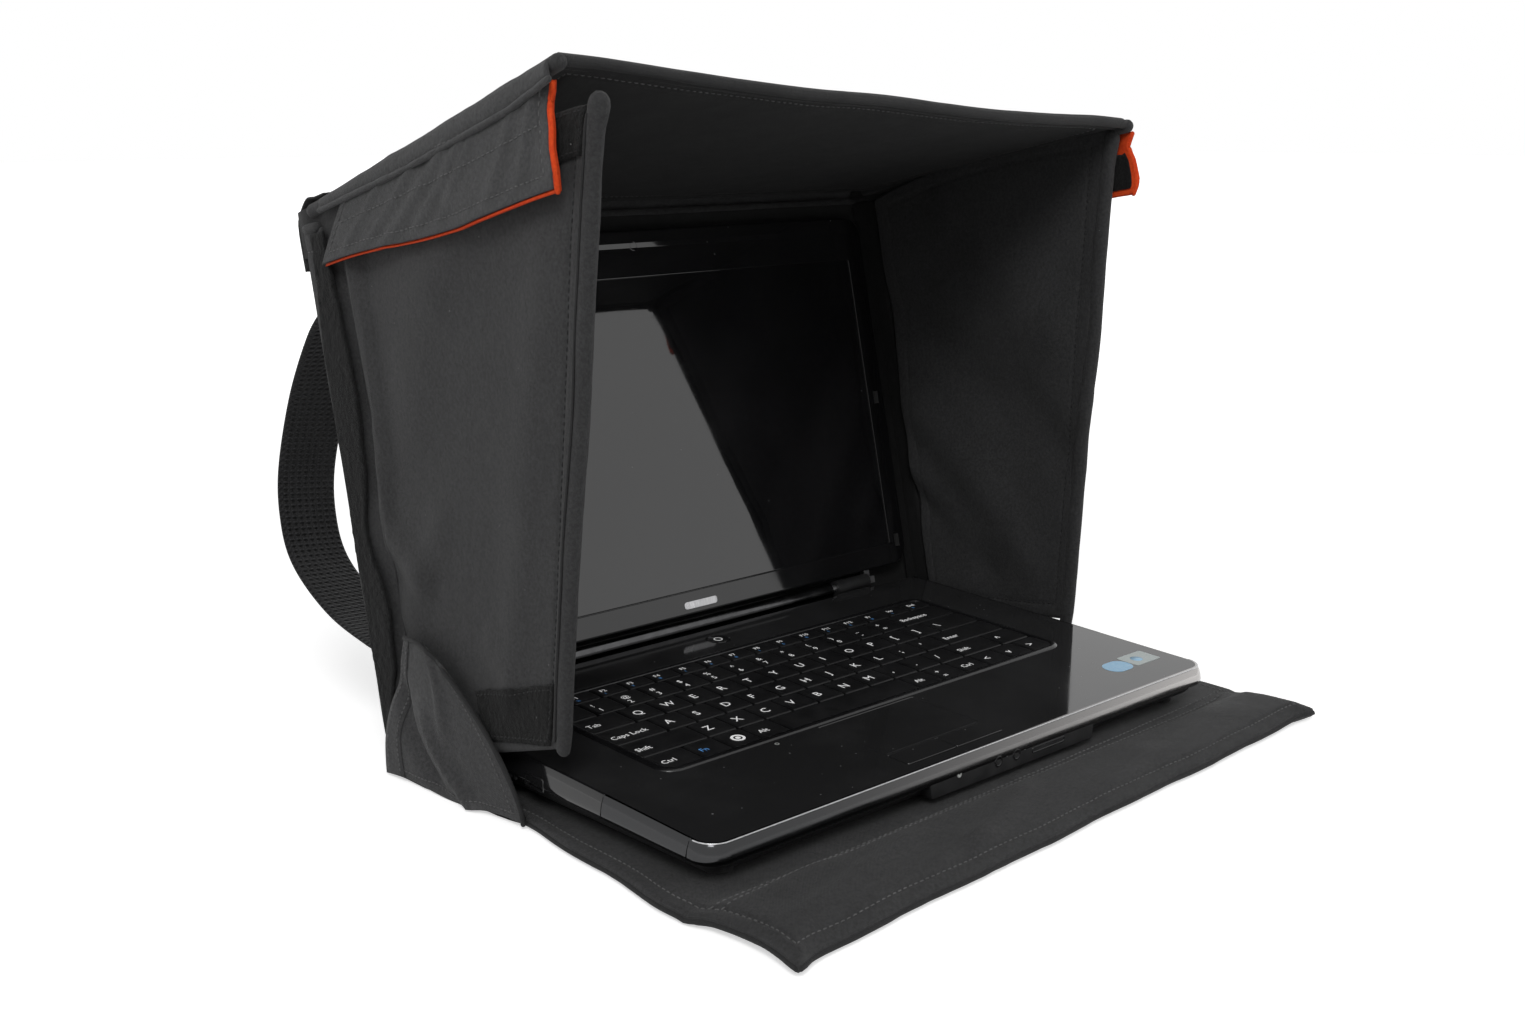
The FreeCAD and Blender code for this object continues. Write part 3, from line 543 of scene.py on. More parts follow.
class Finish:
    """One node material."""

    def __init__(self, name, rough=0.5, metal=0.0, specular=0.5, sheen=0.0):
        self.material = bpy.data.materials.new(name)
        self.material.use_nodes = True
        self.tree = self.material.node_tree
        self.skin = self.tree.nodes["Principled BSDF"]
        self.set("Roughness", rough)
        self.set("Metallic", metal)
        self.set("Specular IOR Level", specular)
        self.set("Sheen Weight", sheen)
        self.set("Sheen Roughness", 0.4)
        self.spot = self.node("TexCoord")
        self.bumps = None

    def node(self, kind, inputs=None, **settings):
        made = self.tree.nodes.new("ShaderNode" + kind)
        for key, value in settings.items():
            setattr(made, key, value)
        for key, value in (inputs or {}).items():
            self.plug(made.inputs[key], value)
        return made

    def plug(self, socket, value):
        if isinstance(value, bpy.types.NodeSocket):
            self.tree.links.new(value, socket)
        elif isinstance(value, (tuple, list)) and len(value) == 3 and socket.type == "RGBA":
            socket.default_value = (*value, 1)
        else:
            socket.default_value = value

    def set(self, name, value):
        self.plug(self.skin.inputs[name], value)

    def noise(self, scale, detail=3.0, rough=0.55, where="Object", stretch=None):
        vector = self.spot.outputs[where]
        if stretch:
            vector = self.node("Mapping", {"Vector": vector, "Scale": stretch}).outputs[0]
        inputs = {"Vector": vector, "Scale": scale, "Detail": detail, "Roughness": rough}
        return self.node("TexNoise", inputs).outputs[0]

    def math(self, operation, a, b=0.5, c=0.5):
        return self.node("Math", {0: a, 1: b, 2: c}, operation=operation).outputs[0]

    def spread(self, value, low, high, to_low=0.0, to_high=1.0):
        """Maps low..high to to_low..to_high and stops at both ends."""
        return self.node("MapRange", {0: value, 1: low, 2: high, 3: to_low, 4: to_high}).outputs[0]

    def mix(self, share, a, b):
        return self.node("Mix", {0: share, 6: a, 7: b}, data_type="RGBA").outputs[2]

    def specks(self, cell, size, share, where="Object"):
        """Small dots of lint or dust: one to a cell, in a share of the cells."""
        dots = self.node("TexVoronoi",
                         {"Vector": self.spot.outputs[where], "Scale": 1 / cell, "Randomness": 1.0})
        near = self.math("LESS_THAN", dots.outputs["Distance"], size / cell)
        chosen = self.math("LESS_THAN", self.node("SeparateColor", {0: dots.outputs["Color"]}).outputs[0],
                           share)
        return self.math("MULTIPLY", near, chosen)

    def bump(self, height, depth, strength=1.0):
        """Adds one layer of relief, depth in mm."""
        inputs = {"Height": height, "Distance": depth * MM, "Strength": strength}
        if self.bumps is not None:
            inputs["Normal"] = self.bumps
        self.bumps = self.node("Bump", inputs).outputs[0]
        self.set("Normal", self.bumps)

    def lean(self, amount, foot=-0.010, head=0.020):
        """Tips the shading upwards and a little sideways, as a slightly bowed sheet would."""
        start = self.bumps if self.bumps is not None else self.node("NewGeometry").outputs["Normal"]
        height = self.node("SeparateXYZ", {0: self.node("NewGeometry").outputs["Position"]}).outputs[2]
        sideways = self.spread(height, *SCREEN_HEIGHTS, foot, head)
        way = self.node("CombineXYZ", {0: sideways, 1: 0.0, 2: amount}).outputs[0]
        tipped = self.node("VectorMath", {0: start, 1: way}, operation="ADD")
        self.set("Normal", self.node("VectorMath", {0: tipped.outputs[0]}, operation="NORMALIZE").outputs[0])

    def weave(self, pitch, where="UV"):
        """Plain weave relief: threads of the given pitch in mm, over and under by turns."""
        parts = self.node("SeparateXYZ", {0: self.spot.outputs[where]})
        turns = [self.math("MULTIPLY", parts.outputs[k], math.pi / (pitch * MM)) for k in (0, 1)]
        waves = [self.math("SINE", turn) for turn in turns]
        over = self.math("GREATER_THAN", self.math("MULTIPLY", *waves), 0.0)
        warp, weft = self.math("ABSOLUTE", waves[0]), self.math("ABSOLUTE", waves[1])
        return self.node("Mix", {0: over, 2: warp, 3: weft}).outputs[0]


WORN_NYLON = (0.17, 0.17, 0.172)
DUST = (0.3, 0.3, 0.3)


def cloth_finish(name, dark, light, pitch=0.42, lint=0.2, sheen=0.25, lint_tone=DUST, scuff=0.0):
    """Plain-woven cloth with blotches, a fine grain, lint and, with scuff, paler rubbed places."""
    rough = 0.78
    made = Finish(name, rough=rough, specular=0.3, sheen=sheen)
    blotch = made.spread(made.noise(22, 4), 0.35, 0.65)
    grain = made.spread(made.noise(620, 3, 0.7), 0.36, 0.64)
    share = made.math("ADD", made.math("MULTIPLY", blotch, 0.35), made.math("MULTIPLY", grain, 0.65))
    colour = made.mix(share, dark, light)
    if scuff:
        fine = made.spread(made.noise(34, 5, 0.7), 0.55, 0.72)
        broad = made.spread(made.noise(11, 2), 0.5, 0.62)
        rubbed = made.math("MULTIPLY", fine, broad)
        colour = made.mix(made.math("MULTIPLY", rubbed, scuff), colour, WORN_NYLON)
    threads = made.weave(pitch)
    # the weave's low places coloured darker: painted shade between the threads
    colour = made.mix(made.spread(threads, 0.2, 0.9, 0.55, 0.0), colour, tuple(0.45 * c for c in dark))
    if lint:
        fluff = made.math("MAXIMUM", made.specks(0.026, 0.0006, lint), made.specks(0.011, 0.00025, lint))
        colour = made.mix(made.math("MULTIPLY", fluff, 0.8), colour, lint_tone)
    made.set("Base Color", colour)
    made.set("Roughness", made.spread(blotch, 0.0, 1.0, rough - 0.07, rough + 0.06))
    made.bump(threads, 0.10)
    made.bump(made.noise(420, 3), 0.3, 0.8)
    made.bump(made.noise(120, 3), 0.5, 0.7)
    made.bump(made.noise(24, 3), 2.6, 0.6)
    return made.material


def fuzz_finish(name, dark, light, scale):
    """Hook or loop tape: a nap of fine fibres in clumps."""
    made = Finish(name, rough=0.95, specular=0.12, sheen=0.08)
    fibres = made.noise(scale, 5, 0.75)
    clumps = made.noise(scale * 0.22, 3)
    colour = made.mix(made.spread(fibres, 0.35, 0.7), dark, light)
    colour = made.mix(made.math("MULTIPLY", made.specks(0.009, 0.0004, 0.35), 0.7), colour,
                      (0.22, 0.22, 0.22))
    made.set("Base Color", colour)
    made.bump(clumps, 1.2)
    made.bump(fibres, 0.9)
    return made.material


BEAD_WIDTH, RIB_PITCH = 4.4, 3.2


def webbing_finish(name):
    """Ribbed webbing; its UV is in metres across and along."""
    made = Finish(name, rough=0.7, specular=0.25, sheen=0.05)
    parts = made.node("SeparateXYZ", {0: made.spot.outputs["UV"]})
    across = made.math("MULTIPLY", parts.outputs[0], TAU / (BEAD_WIDTH * MM))
    along = made.math("MULTIPLY", parts.outputs[1], TAU / (RIB_PITCH * MM))
    bead = made.math("MULTIPLY", made.math("SINE", across), made.math("SINE", along))
    rib = made.math("MULTIPLY", made.math("SINE", along), 0.9)
    height = made.math("ADD", bead, rib)
    # raised beads and ribs coloured lighter and the hollows darker: painted shade
    tone = made.mix(made.spread(height, -0.9, 1.1), (0.006, 0.006, 0.006), (0.034, 0.034, 0.036))
    worn = made.spread(made.noise(60, 4), 0.45, 0.8, 0.0, 0.35)
    made.set("Base Color", made.mix(worn, tone, (0.05, 0.05, 0.052)))
    made.bump(height, 0.6)
    made.bump(made.noise(1800, 2), 0.08)
    return made.material


def gloss_finish(name, tone, rough=0.05, dust=0.3, smudge=0.06, specular=0.5, lean=0.0):
    """Polished plastic or glass under a film, with motes of dust and hairline scratches."""
    made = Finish(name, rough=rough, specular=specular)
    film = made.spread(made.noise(14, 5, 0.65), 0.45, 0.75)
    motes = made.math("MAXIMUM", made.specks(0.0062, 0.0003, dust), made.specks(0.015, 0.0005, dust * 0.7))
    shown = made.math("MULTIPLY", motes, 0.55)
    filmed = made.mix(film, tone, tuple(c * 1.5 + 0.0015 for c in tone))
    made.set("Base Color", made.mix(shown, filmed, (0.3, 0.3, 0.31)))
    scratches = made.spread(made.noise(90, 2, stretch=(1, 14, 14)), 0.62, 0.7, 0.0, 0.03)
    level = made.math("ADD", made.math("MULTIPLY", film, smudge), rough)
    level = made.math("ADD", level, scratches)
    made.set("Roughness", made.math("ADD", level, made.math("MULTIPLY", motes, 0.5)))
    made.bump(made.noise(9, 2), 0.02, 0.4)
    if lean:
        made.lean(lean)
    return made.material


def moulded_finish(name, tone, light, rough=0.45, grain=900, depth=0.05, dust=0.25, specular=0.5):
    """Fine-grained matt plastic."""
    made = Finish(name, rough=rough, specular=specular)
    mottle = made.spread(made.noise(30, 4), 0.3, 0.7)
    colour = made.mix(mottle, tone, light)
    colour = made.mix(made.math("MULTIPLY", made.specks(0.008, 0.00022, dust), 0.5), colour, DUST)
    made.set("Base Color", colour)
    made.set("Roughness", made.spread(made.noise(120, 3), 0.3, 0.7, rough - 0.07, rough + 0.1))
    made.bump(made.noise(grain, 2), depth)
    return made.material


def metal_finish(name, dark, light, rough=0.3, brush=None, depth=0.02):
    made = Finish(name, rough=rough, metal=1.0)
    lines = made.noise(180, 3, stretch=brush or (1, 1, 1))
    made.set("Base Color", made.mix(made.spread(lines, 0.3, 0.7), dark, light))
    made.set("Roughness", made.spread(made.noise(70, 4), 0.3, 0.7, rough - 0.05, rough + 0.08))
    made.bump(lines, depth)
    return made.material


def rim_finish(name):
    """Smoked chrome with a painted reflection: its colour grows lighter from the left of the laptop to the
    right.
    """
    made = Finish(name, rough=0.16, metal=1.0)
    across = made.node("SeparateXYZ", {0: made.spot.outputs["Object"]}).outputs[0]
    # painted reflection: the chrome's colour lightens from the left of the laptop to the right
    clear = made.math("POWER", made.spread(across, -0.186, 0.186), 2.2)
    made.set("Base Color", made.mix(clear, (0.05, 0.0505, 0.052), (0.46, 0.445, 0.435)))
    made.set("Roughness", made.spread(made.noise(70, 4), 0.3, 0.7, 0.12, 0.2))
    return made.material


def ink_finish(name, tone, worn, glow=0.0):
    """Printed ink or a small lamp; glow makes the colour give off light of its own, which on ink is a painted
    glow.
    """
    made = Finish(name, rough=0.5, specular=0.4)
    colour = made.mix(made.spread(made.noise(900, 3), 0.4, 0.75, 0.0, 0.5), tone, worn)
    made.set("Base Color", colour)
    made.set("Emission Color", colour)
    made.set("Emission Strength", glow)
    made.bump(made.noise(1500, 2), 0.02)
    return made.material


NYLON = cloth_finish("nylon", (0.016, 0.016, 0.0166), (0.052, 0.052, 0.0533), sheen=0.07, scuff=0.1)
# lighter nylon with rubbed places: the scuffs are wear, the lighter tone is painted light for the stronger
# light from above on the gusset, flaps and roof sides
NYLON_WORN_PAINTED_LIGHT = cloth_finish("nylon_worn", (0.023, 0.023, 0.0238), (0.078, 0.078, 0.080), lint=0.3, sheen=0.12,
                          scuff=0.8)
# the same nylon as outside, with its own tone set for the light inside the hood: painted light
NYLON_INSIDE_PAINTED_LIGHT = cloth_finish("nylon_inside", (0.019, 0.019, 0.0196), (0.052, 0.052, 0.0533), lint=0.12,
                            sheen=0.07)
# a darker copy of the nylon for the inner faces of the roof and the back panel: painted shade
NYLON_PAINTED_SHADE = cloth_finish("nylon_shade", (0.0025, 0.0025, 0.0026), (0.0065, 0.0065, 0.0067), lint=0.08,
                           sheen=0.02)
# darker nylon: the binding's own colour on piping and welts, and painted shade on the side seams' stitches,
# the roof's front hem and the upper back corner folds
BINDING_AND_PAINTED_SHADE = cloth_finish("nylon_binding", (0.010, 0.010, 0.0105), (0.022, 0.022, 0.0225), 0.7, lint=0.1,
                       sheen=0.05)
ORANGE = cloth_finish("orange_lining", (0.78, 0.050, 0.006), (1.0, 0.11, 0.016), 0.5, lint=0.05, sheen=0.0,
                      lint_tone=(0.5, 0.3, 0.2))
THREAD = cloth_finish("sewing_thread", (0.09, 0.09, 0.09), (0.2, 0.2, 0.2), 0.3, lint=0, sheen=0.05)
HOOK = fuzz_finish("hook_tape", (0.003, 0.003, 0.003), (0.018, 0.018, 0.018), 1500)
LOOP = fuzz_finish("loop_tape", (0.003, 0.003, 0.003), (0.020, 0.020, 0.0205), 1100)
WEBBING = webbing_finish("webbing")
BLACK = (0.006, 0.006, 0.0065)
GLOSS = gloss_finish("piano_black", (0.0085, 0.0085, 0.009), dust=0.12)
# the deck's gloss black, dustier and paler than the lid's: the dust is real, the paler tone is painted light
# for the deck under the hood
DECK_GLOSS_PAINTED_LIGHT = gloss_finish("piano_black_dusty", (0.019, 0.019, 0.0195), dust=0.45)
EDGE = gloss_finish("screen_edge", (0.012, 0.012, 0.0125), rough=0.12, dust=0.0, specular=0.6)
BEVEL = gloss_finish("bezel_bevel", BLACK, dust=0.05, specular=0.8, lean=-0.05)
SCREEN = gloss_finish("screen_glass", (0.004, 0.004, 0.0045), 0.025, dust=0.05, smudge=0.03, specular=0.93,
                      lean=0.098)
BEZEL = gloss_finish("bezel_black", BLACK, rough=0.04, dust=0.08, specular=0.7, lean=0.098)
CASE = moulded_finish("case_black", (0.008, 0.008, 0.0085), (0.014, 0.014, 0.0145), depth=0.015, dust=0.12)
SATIN = gloss_finish("satin_black", BLACK, rough=0.2, dust=0.2, smudge=0.12)
KEYCAP = moulded_finish("keycap", BLACK, (0.012, 0.012, 0.0125), rough=0.42, grain=1600, depth=0.02,
                        specular=0.28)
# the rim's chrome, with a painted reflection that is darker at the left and lighter at the right
TRIM = rim_finish("polished_rim")
BAR = metal_finish("hinge_bar_metal", (0.075, 0.075, 0.077), (0.10, 0.10, 0.103), rough=0.16, depth=0.001)
STEEL = metal_finish("steel", (0.42, 0.42, 0.43), (0.62, 0.62, 0.63), brush=(12, 1, 1))
COPPER = metal_finish("copper", (0.7, 0.3, 0.16), (0.85, 0.45, 0.28), rough=0.28, brush=(10, 1, 1))
DRIVE = metal_finish("drive_case", (0.5, 0.5, 0.51), (0.66, 0.66, 0.67), rough=0.35, brush=(1, 12, 1))
RUBBER = moulded_finish("rubber", (0.004, 0.004, 0.004), (0.009, 0.009, 0.009), rough=0.8, grain=700,
                        depth=0.08)
LENS = gloss_finish("lens", (0.004, 0.005, 0.012), rough=0.02, dust=0, smudge=0.01)
GREEN = moulded_finish("circuit_board", (0.01, 0.07, 0.03), (0.03, 0.15, 0.07), rough=0.35)
# both inks give off a little light of their own: a painted glow
INK_PAINTED_GLOW = ink_finish("white_ink", (0.9, 0.9, 0.9), (0.7, 0.7, 0.7), 0.3)
BLUE_INK_PAINTED_GLOW = ink_finish("blue_ink", (0.12, 0.36, 0.8), (0.05, 0.15, 0.4), 0.15)
STICKER_BLUE = ink_finish("sticker_blue", (0.35, 0.62, 0.86), (0.62, 0.8, 0.93))
STICKER_GREY = ink_finish("sticker_grey", (0.5, 0.56, 0.55), (0.7, 0.72, 0.72))
LAMP = ink_finish("lamp", (0.5, 0.52, 0.5), (0.25, 0.26, 0.25))

SHOWN_NODES = {
    LENS: ["webcam"], RUBBER: ["lid_bumpers", "rubber_feet"], STEEL: ["hinge_arms"], COPPER: ["heat_sink"],
    CASE: ["hinge_knuckles", "keyboard_tray", "audio_jacks", "fan_housing", "fan_rotor", "battery_latch"],
    GREEN: ["main_board"], DRIVE: ["hard_drive", "optical_drive"],
}


def dress_nodes():
    """Gives every CAD node that stays in view its finish."""
    for finish, nodes in SHOWN_NODES.items():
        for node in nodes:
            slots = NODES[node].data.materials
            slots.clear()
            slots.append(finish)


# ---------------------------------------------------------------- hood

SIDES = (("left", -1), ("right", 1))
APRON_CREASE = pivot("apron_fold")[1]
BACK_TOP = 277
APPLIED = {}   # sheets of the patches made by applied(), by their names


def on_side(sign, left, right):
    """The cloth hood leans a little to the operator's left, so its two sides differ."""
    return left if sign < 0 else right


def forward(sign, share):
    """A share across a side sheet, counted from its rear edge on either side."""
    return share if sign < 0 else 1 - share


def facing(sign, rear_low, front_low, rear_high, front_high):
    """Corner order that makes a sheet's front face point outwards on either side."""
    if sign < 0:
        return [rear_low, front_low, rear_high, front_high]
    return [front_low, rear_low, front_high, rear_high]


def bend(pieces, start, end):
    """Bakes the place of each cloth piece into its mesh; the two points, start and end in mm, are not used.
    """
    for piece in pieces:
        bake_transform(piece)


def crumple(pieces, joint, axis, anchor, keep):
    """Gives each cloth piece a mesh of its own; joint, axis, anchor and keep are not used."""
    for piece in pieces:
        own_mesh(piece)


def puff(obj, sheet, cap, pressure=4.0, frames=20):
    """Swells a closed cloth piece with a cloth simulation, moving no point further than cap(spots) in mm."""
    scene = bpy.context.scene
    count = len(obj.data.vertices)
    rest = np.zeros(count * 3)
    obj.data.vertices.foreach_get("co", rest)
    cloth = obj.modifiers.new("Cloth", "CLOTH")
    cloth.settings.quality = 5
    cloth.settings.use_pressure = True
    cloth.settings.uniform_pressure_force = pressure
    cloth.settings.effector_weights.gravity = 0
    scene.frame_start, scene.frame_end = 1, frames
    for number in range(1, frames + 1):
        scene.frame_set(number)
    swollen = np.zeros(count * 3)
    obj.evaluated_get(bpy.context.evaluated_depsgraph_get()).data.vertices.foreach_get("co", swollen)
    obj.modifiers.remove(cloth)
    scene.frame_set(1)
    rest = rest.reshape(-1, 3) * 1000
    move = swollen.reshape(-1, 3) * 1000 - rest
    size = np.linalg.norm(move, axis=1)
    limit = cap(rest)
    move *= (limit * np.tanh(size / np.maximum(limit, 1e-6)) / np.maximum(size, 1e-9))[:, None]
    done = rest + move
    done[:, 2] = np.maximum(done[:, 2], 0.1)
    obj.data.vertices.foreach_set("co", (done * MM).ravel())
    obj.data.update()
    half, shape = count // 2, sheet.front.shape
    sheet.front, sheet.rear = done[:half].reshape(shape), done[half:].reshape(shape)


def base_and_apron():
    """One padded cloth from the back edge to the apron's hem, bending at the crease before the laptop."""
    rear = box("base_cover")[1][1]

    def bow(u, v):
        left = 5.0 * mound(v - 0.36, 0.2) - 3.0 * mound(v - 0.72, 0.14) + 1.3 * np.sin(v * 23)
        right = -4.0 * mound(v - 0.36, 0.2) + 3.5 * mound(v - 0.76, 0.14) + 1.1 * np.sin(v * 27 + 1)
        front = 0.5 * np.sin(u * 17 + 0.6) + 0.35 * np.sin(u * 41)
        return points(left * u**3 + right * (1 - u) ** 3,
                      front * v**6 - 3 * mound(u - 1, 0.03) * v**8 - 2 * mound(u, 0.03) * v**8,
                      (1.6 * mound(u - 1, 0.05) + 2.2 * mound(u, 0.05)) * v**8
                      + 0.35 * ease((v - 0.85) / 0.1))
    corners = [(198, rear, 3), (-198, rear, 3), (213, -168.5, 3), (-203.5, -186, 3)]
    sheet = panel(corners, 5.4, step=4.2, seams=(7.5,), groove=0.9, ripple=0.0, rim=2.6, bow=bow, seed=3)
    folds = fold_lines([(0, -46, 120, -14, 5, 1.9), (40, -54, 150, -36, 6, 1.7), (118, -48, 205, -10, 7, 1.6),
                        (205, -52, 290, -22, 8, 1.5), (262, -40, 372, -14, 6, 1.3),
                        (300, -56, 392, -40, 7, 1.2), (20, -20, 70, -4, 5, 1.2)])
    for face in (sheet.front, sheet.rear):
        y = face[..., 1]
        loose = 0.15 + 0.85 * ease((sheet.height - sheet.vs[:, None]) / 24)
        free = np.clip((APRON_CREASE - y) / 12, 0, 1) * loose
        rise = 1.45 * folds(face[..., 0] + 195, y - APRON_CREASE)
        plan = face * [1, 1, 0]
        face[..., 2] += free * (0.9 + rise + 0.7 * lumps(plan, 38, 4) + 0.35 * lumps(plan, 15, 8))
    sheet.front[..., 2] -= 1.1 * mound(sheet.front[..., 1] - APRON_CREASE, 2.6)
    for face in (sheet.front, sheet.rear):
        face[..., 2] = np.maximum(face[..., 2], 0.1)
    covered = ["base_cover", "apron_cover", "base_board", "apron_foam"]
    pad = sheet.build("base_and_apron_cloth", NYLON, stands_for=covered)

    def cap(spots):
        edge = 200 - np.abs(spots[:, 0])
        free = np.maximum(ease((APRON_CREASE + 2 - spots[:, 1]) / 14), ease((14 - edge) / 10) * 0.5)
        return 0.15 + 3.4 * free
    puff(pad, sheet, cap)
    under_laptop = sheet.front[..., 1] > -119
    sheet.front[..., 2] = np.where(under_laptop, np.minimum(sheet.front[..., 2], 6.0), sheet.front[..., 2])
    w, h = sheet.width, sheet.height
    for run in outline_of(sheet, 7.5, "lrt") + [[(6, h * share), (w - 6, h * share)]
                                                for share in (0.806, 0.824)]:
        sew("apron_stitches", sheet, run)
    pad.data.vertices.foreach_set("co", (sheet.verts() * MM).ravel())
    pad.data.update()
    threads = place_threads("apron_stitches", THREAD)
    border = np.vstack([sheet.column(0.0, h * 0.3, h, 60), sheet.row(h, 0, w, 110),
                        sheet.column(w, h, h * 0.33, 80)])
    border[:, 2] = np.maximum(border[:, 2] - 1.1, 1.25)
    piping = tube("apron_piping", border, 1.15, BINDING_AND_PAINTED_SHADE, step=3, rough=0.12)
    bend((pad, threads, piping), (0, -119.5, 0), (0, -126.5, 0))
    for name, sign in SIDES:
        edge = [(sign * on_side(sign, 199, 199.5), 111, 2.8), (sign * 197.5, 70, 2.6),
                (sign * on_side(sign, 193, 198.5), 30, 2.7), (sign * on_side(sign, 190.5, 200), 9, 3.2)]
        tube(f"base_fuzzy_edge_{name}", smooth_path(edge, 60), 2.5, LOOP, "hood_base", "loop_tape",
             rough=0.25, seed=7)


def back_cover():
    """The back panel and its two returns, one padded cloth bent round the stiffener."""
    bend_plan = [(197, -19), (197, -2), (196.4, 1.2), (193.5, 2.5), (188, 2.6)]
    plan = bend_plan + [(100, 2.9), (0, 3.1), (-100, 2.9)] + [(-x, along) for x, along in bend_plan[::-1]]
    path = smooth_path(plan, 120)
    length = run_length(path)
    across = stations(length, 5, (12,), 3)
    places = pick(path, np.linspace(0, 1, len(path)), across)
    height = BACK_TOP - 3
    up = stations(height, 6, (12,), 3)
    u, v = np.meshgrid(across, up)
    x, along = np.broadcast_to(places[:, 0], u.shape), np.broadcast_to(places[:, 1], u.shape)
    wing = np.clip((np.abs(x) - 190) / 6, 0, 1) * np.clip((4 - along) / 20, 0, 1)
    low, high = 3 + 6 * wing, BACK_TOP - 2 * wing
    middle = BACK.at(x, along, low + (high - low) * v)
    outward = BACK.back * (1 - wing)[..., None] + np.array([1.0, 0, 0]) * (np.sign(x) * wing)[..., None]
    flat = points(middle[..., 0], middle[..., 2], 0 * x)
    swell = 1.1 * lumps(flat, 60, 21) + 0.5 * lumps(flat, 24, 22)
    swell = swell + 1.6 * (1 - wing) * np.sin(math.pi * v) * np.cos(x / 127)
    middle = middle + outward * swell[..., None] * (1 - 0.6 * wing[..., None])
    inside = inside_of(u, v, length, height)
    half = 0.8 + 1.9 * rounding(inside, 3) - 0.6 * mound(inside - 12, 1.5)
    sheet = Sheet(across, up, middle, half, length, height)
    # the back panel's inner face gets the darker nylon: painted shade
    sheet.build("back_panel_cloth", (NYLON, NYLON_PAINTED_SHADE), "hood_base",
                stands_for=["back_cover", "back_board"])
    runs = outline_of(sheet, 12, "bt") + [[(u, 12), (u, height - 12)]
                                          for u in (30, 34, length - 30, length - 34)]
    for run in runs + [[(34, v), (length - 34, v)] for v in (38, 42)]:
        sew("back_stitches", sheet, run)
    hem = sheet.row(height - 0.5, 8, length - 8, 120) - BACK.back * 1.8
    tube("back_top_hem", hem, 2.7, NYLON, "hood_base", step=4, rough=0.06)
    place_threads("back_stitches", THREAD, "hood_base")
    for name, sign in SIDES:
        loop_strip(name, sign)
        side_hinge(name, sign)
        gusset(name, sign)
        corner_curl(name, sign)


def loop_strip(name, sign):
    """A fuzzy strip up the outside of the return, with a wavy front edge."""
    rows, columns, width = 160, 18, 20
    v, u = np.meshgrid(np.linspace(0, 1, rows), np.linspace(0, 1, columns), indexing="ij")
    low, high = 14, BACK_TOP - 5
    above = low + (high - low) * v
    noise_at = points(above, 0 * above, 0 * above)
    wave = np.interp(above, [14, 30, 55, 90, 122, 150, 182, 235, 272],
                     [-8, -13, -24, -27, -16, -24.5, -29, -26, -22])
    for _ in range(30):
        wave[1:-1] = (wave[:-2] + 2 * wave[1:-1] + wave[2:]) / 4
    front = wave - 0.7 * lumps(noise_at, 9, 33 + sign)
    rear = -3.0 + 0.6 * lumps(noise_at, 30, 35 + sign) - 6 * ease((above - 212) / 45)
    middle = BACK.at(sign * (201.1 + 0.8 * lumps(noise_at, 26, 37)),
                     front + (rear - front) * forward(sign, u), above)
    lumpy = middle
    if sign < 0:
        middle = lumpy = middle[:, ::-1]
    inside = inside_of(u, v, width, high - low)
    half = 0.35 + 0.65 * ease(inside / 1.6) + 0.28 * lumps(lumpy, 1.7, 40) + 0.2 * lumps(lumpy, 4, 41)
    sheet = Sheet(np.linspace(0, 1, columns), np.linspace(0, 1, rows),
                  middle[:, ::-1] if sign > 0 else middle, np.maximum(half, 0.2), width, high - low)
    strip = sheet.build(f"loop_strip_{name}", LOOP, None, "loop_tape",
                        stands_for=["loop_strips"] if sign < 0 else ())
    bend([strip], BACK.at(sign * 199, -17, 140), BACK.at(sign * 199, -23.5, 140))


def side_hinge(name, sign):
    """Thin cloth that joins a side panel to the back panel's return."""
    edges = ((199.6, -15), (195.7, -29))
    corners = facing(sign, *[BACK.at(sign * x, along, above) for above in (20, 268) for x, along in edges])
    sheet = panel(corners, 0.9, step=3.2, rim=1, edge=0.35, ripple=0.25, seed=44)
    cloth = sheet.build(f"side_hinge_cloth_{name}", NYLON)
    bend([cloth], BACK.at(sign * 198, -17.5, 140), BACK.at(sign * 197, -24, 140))


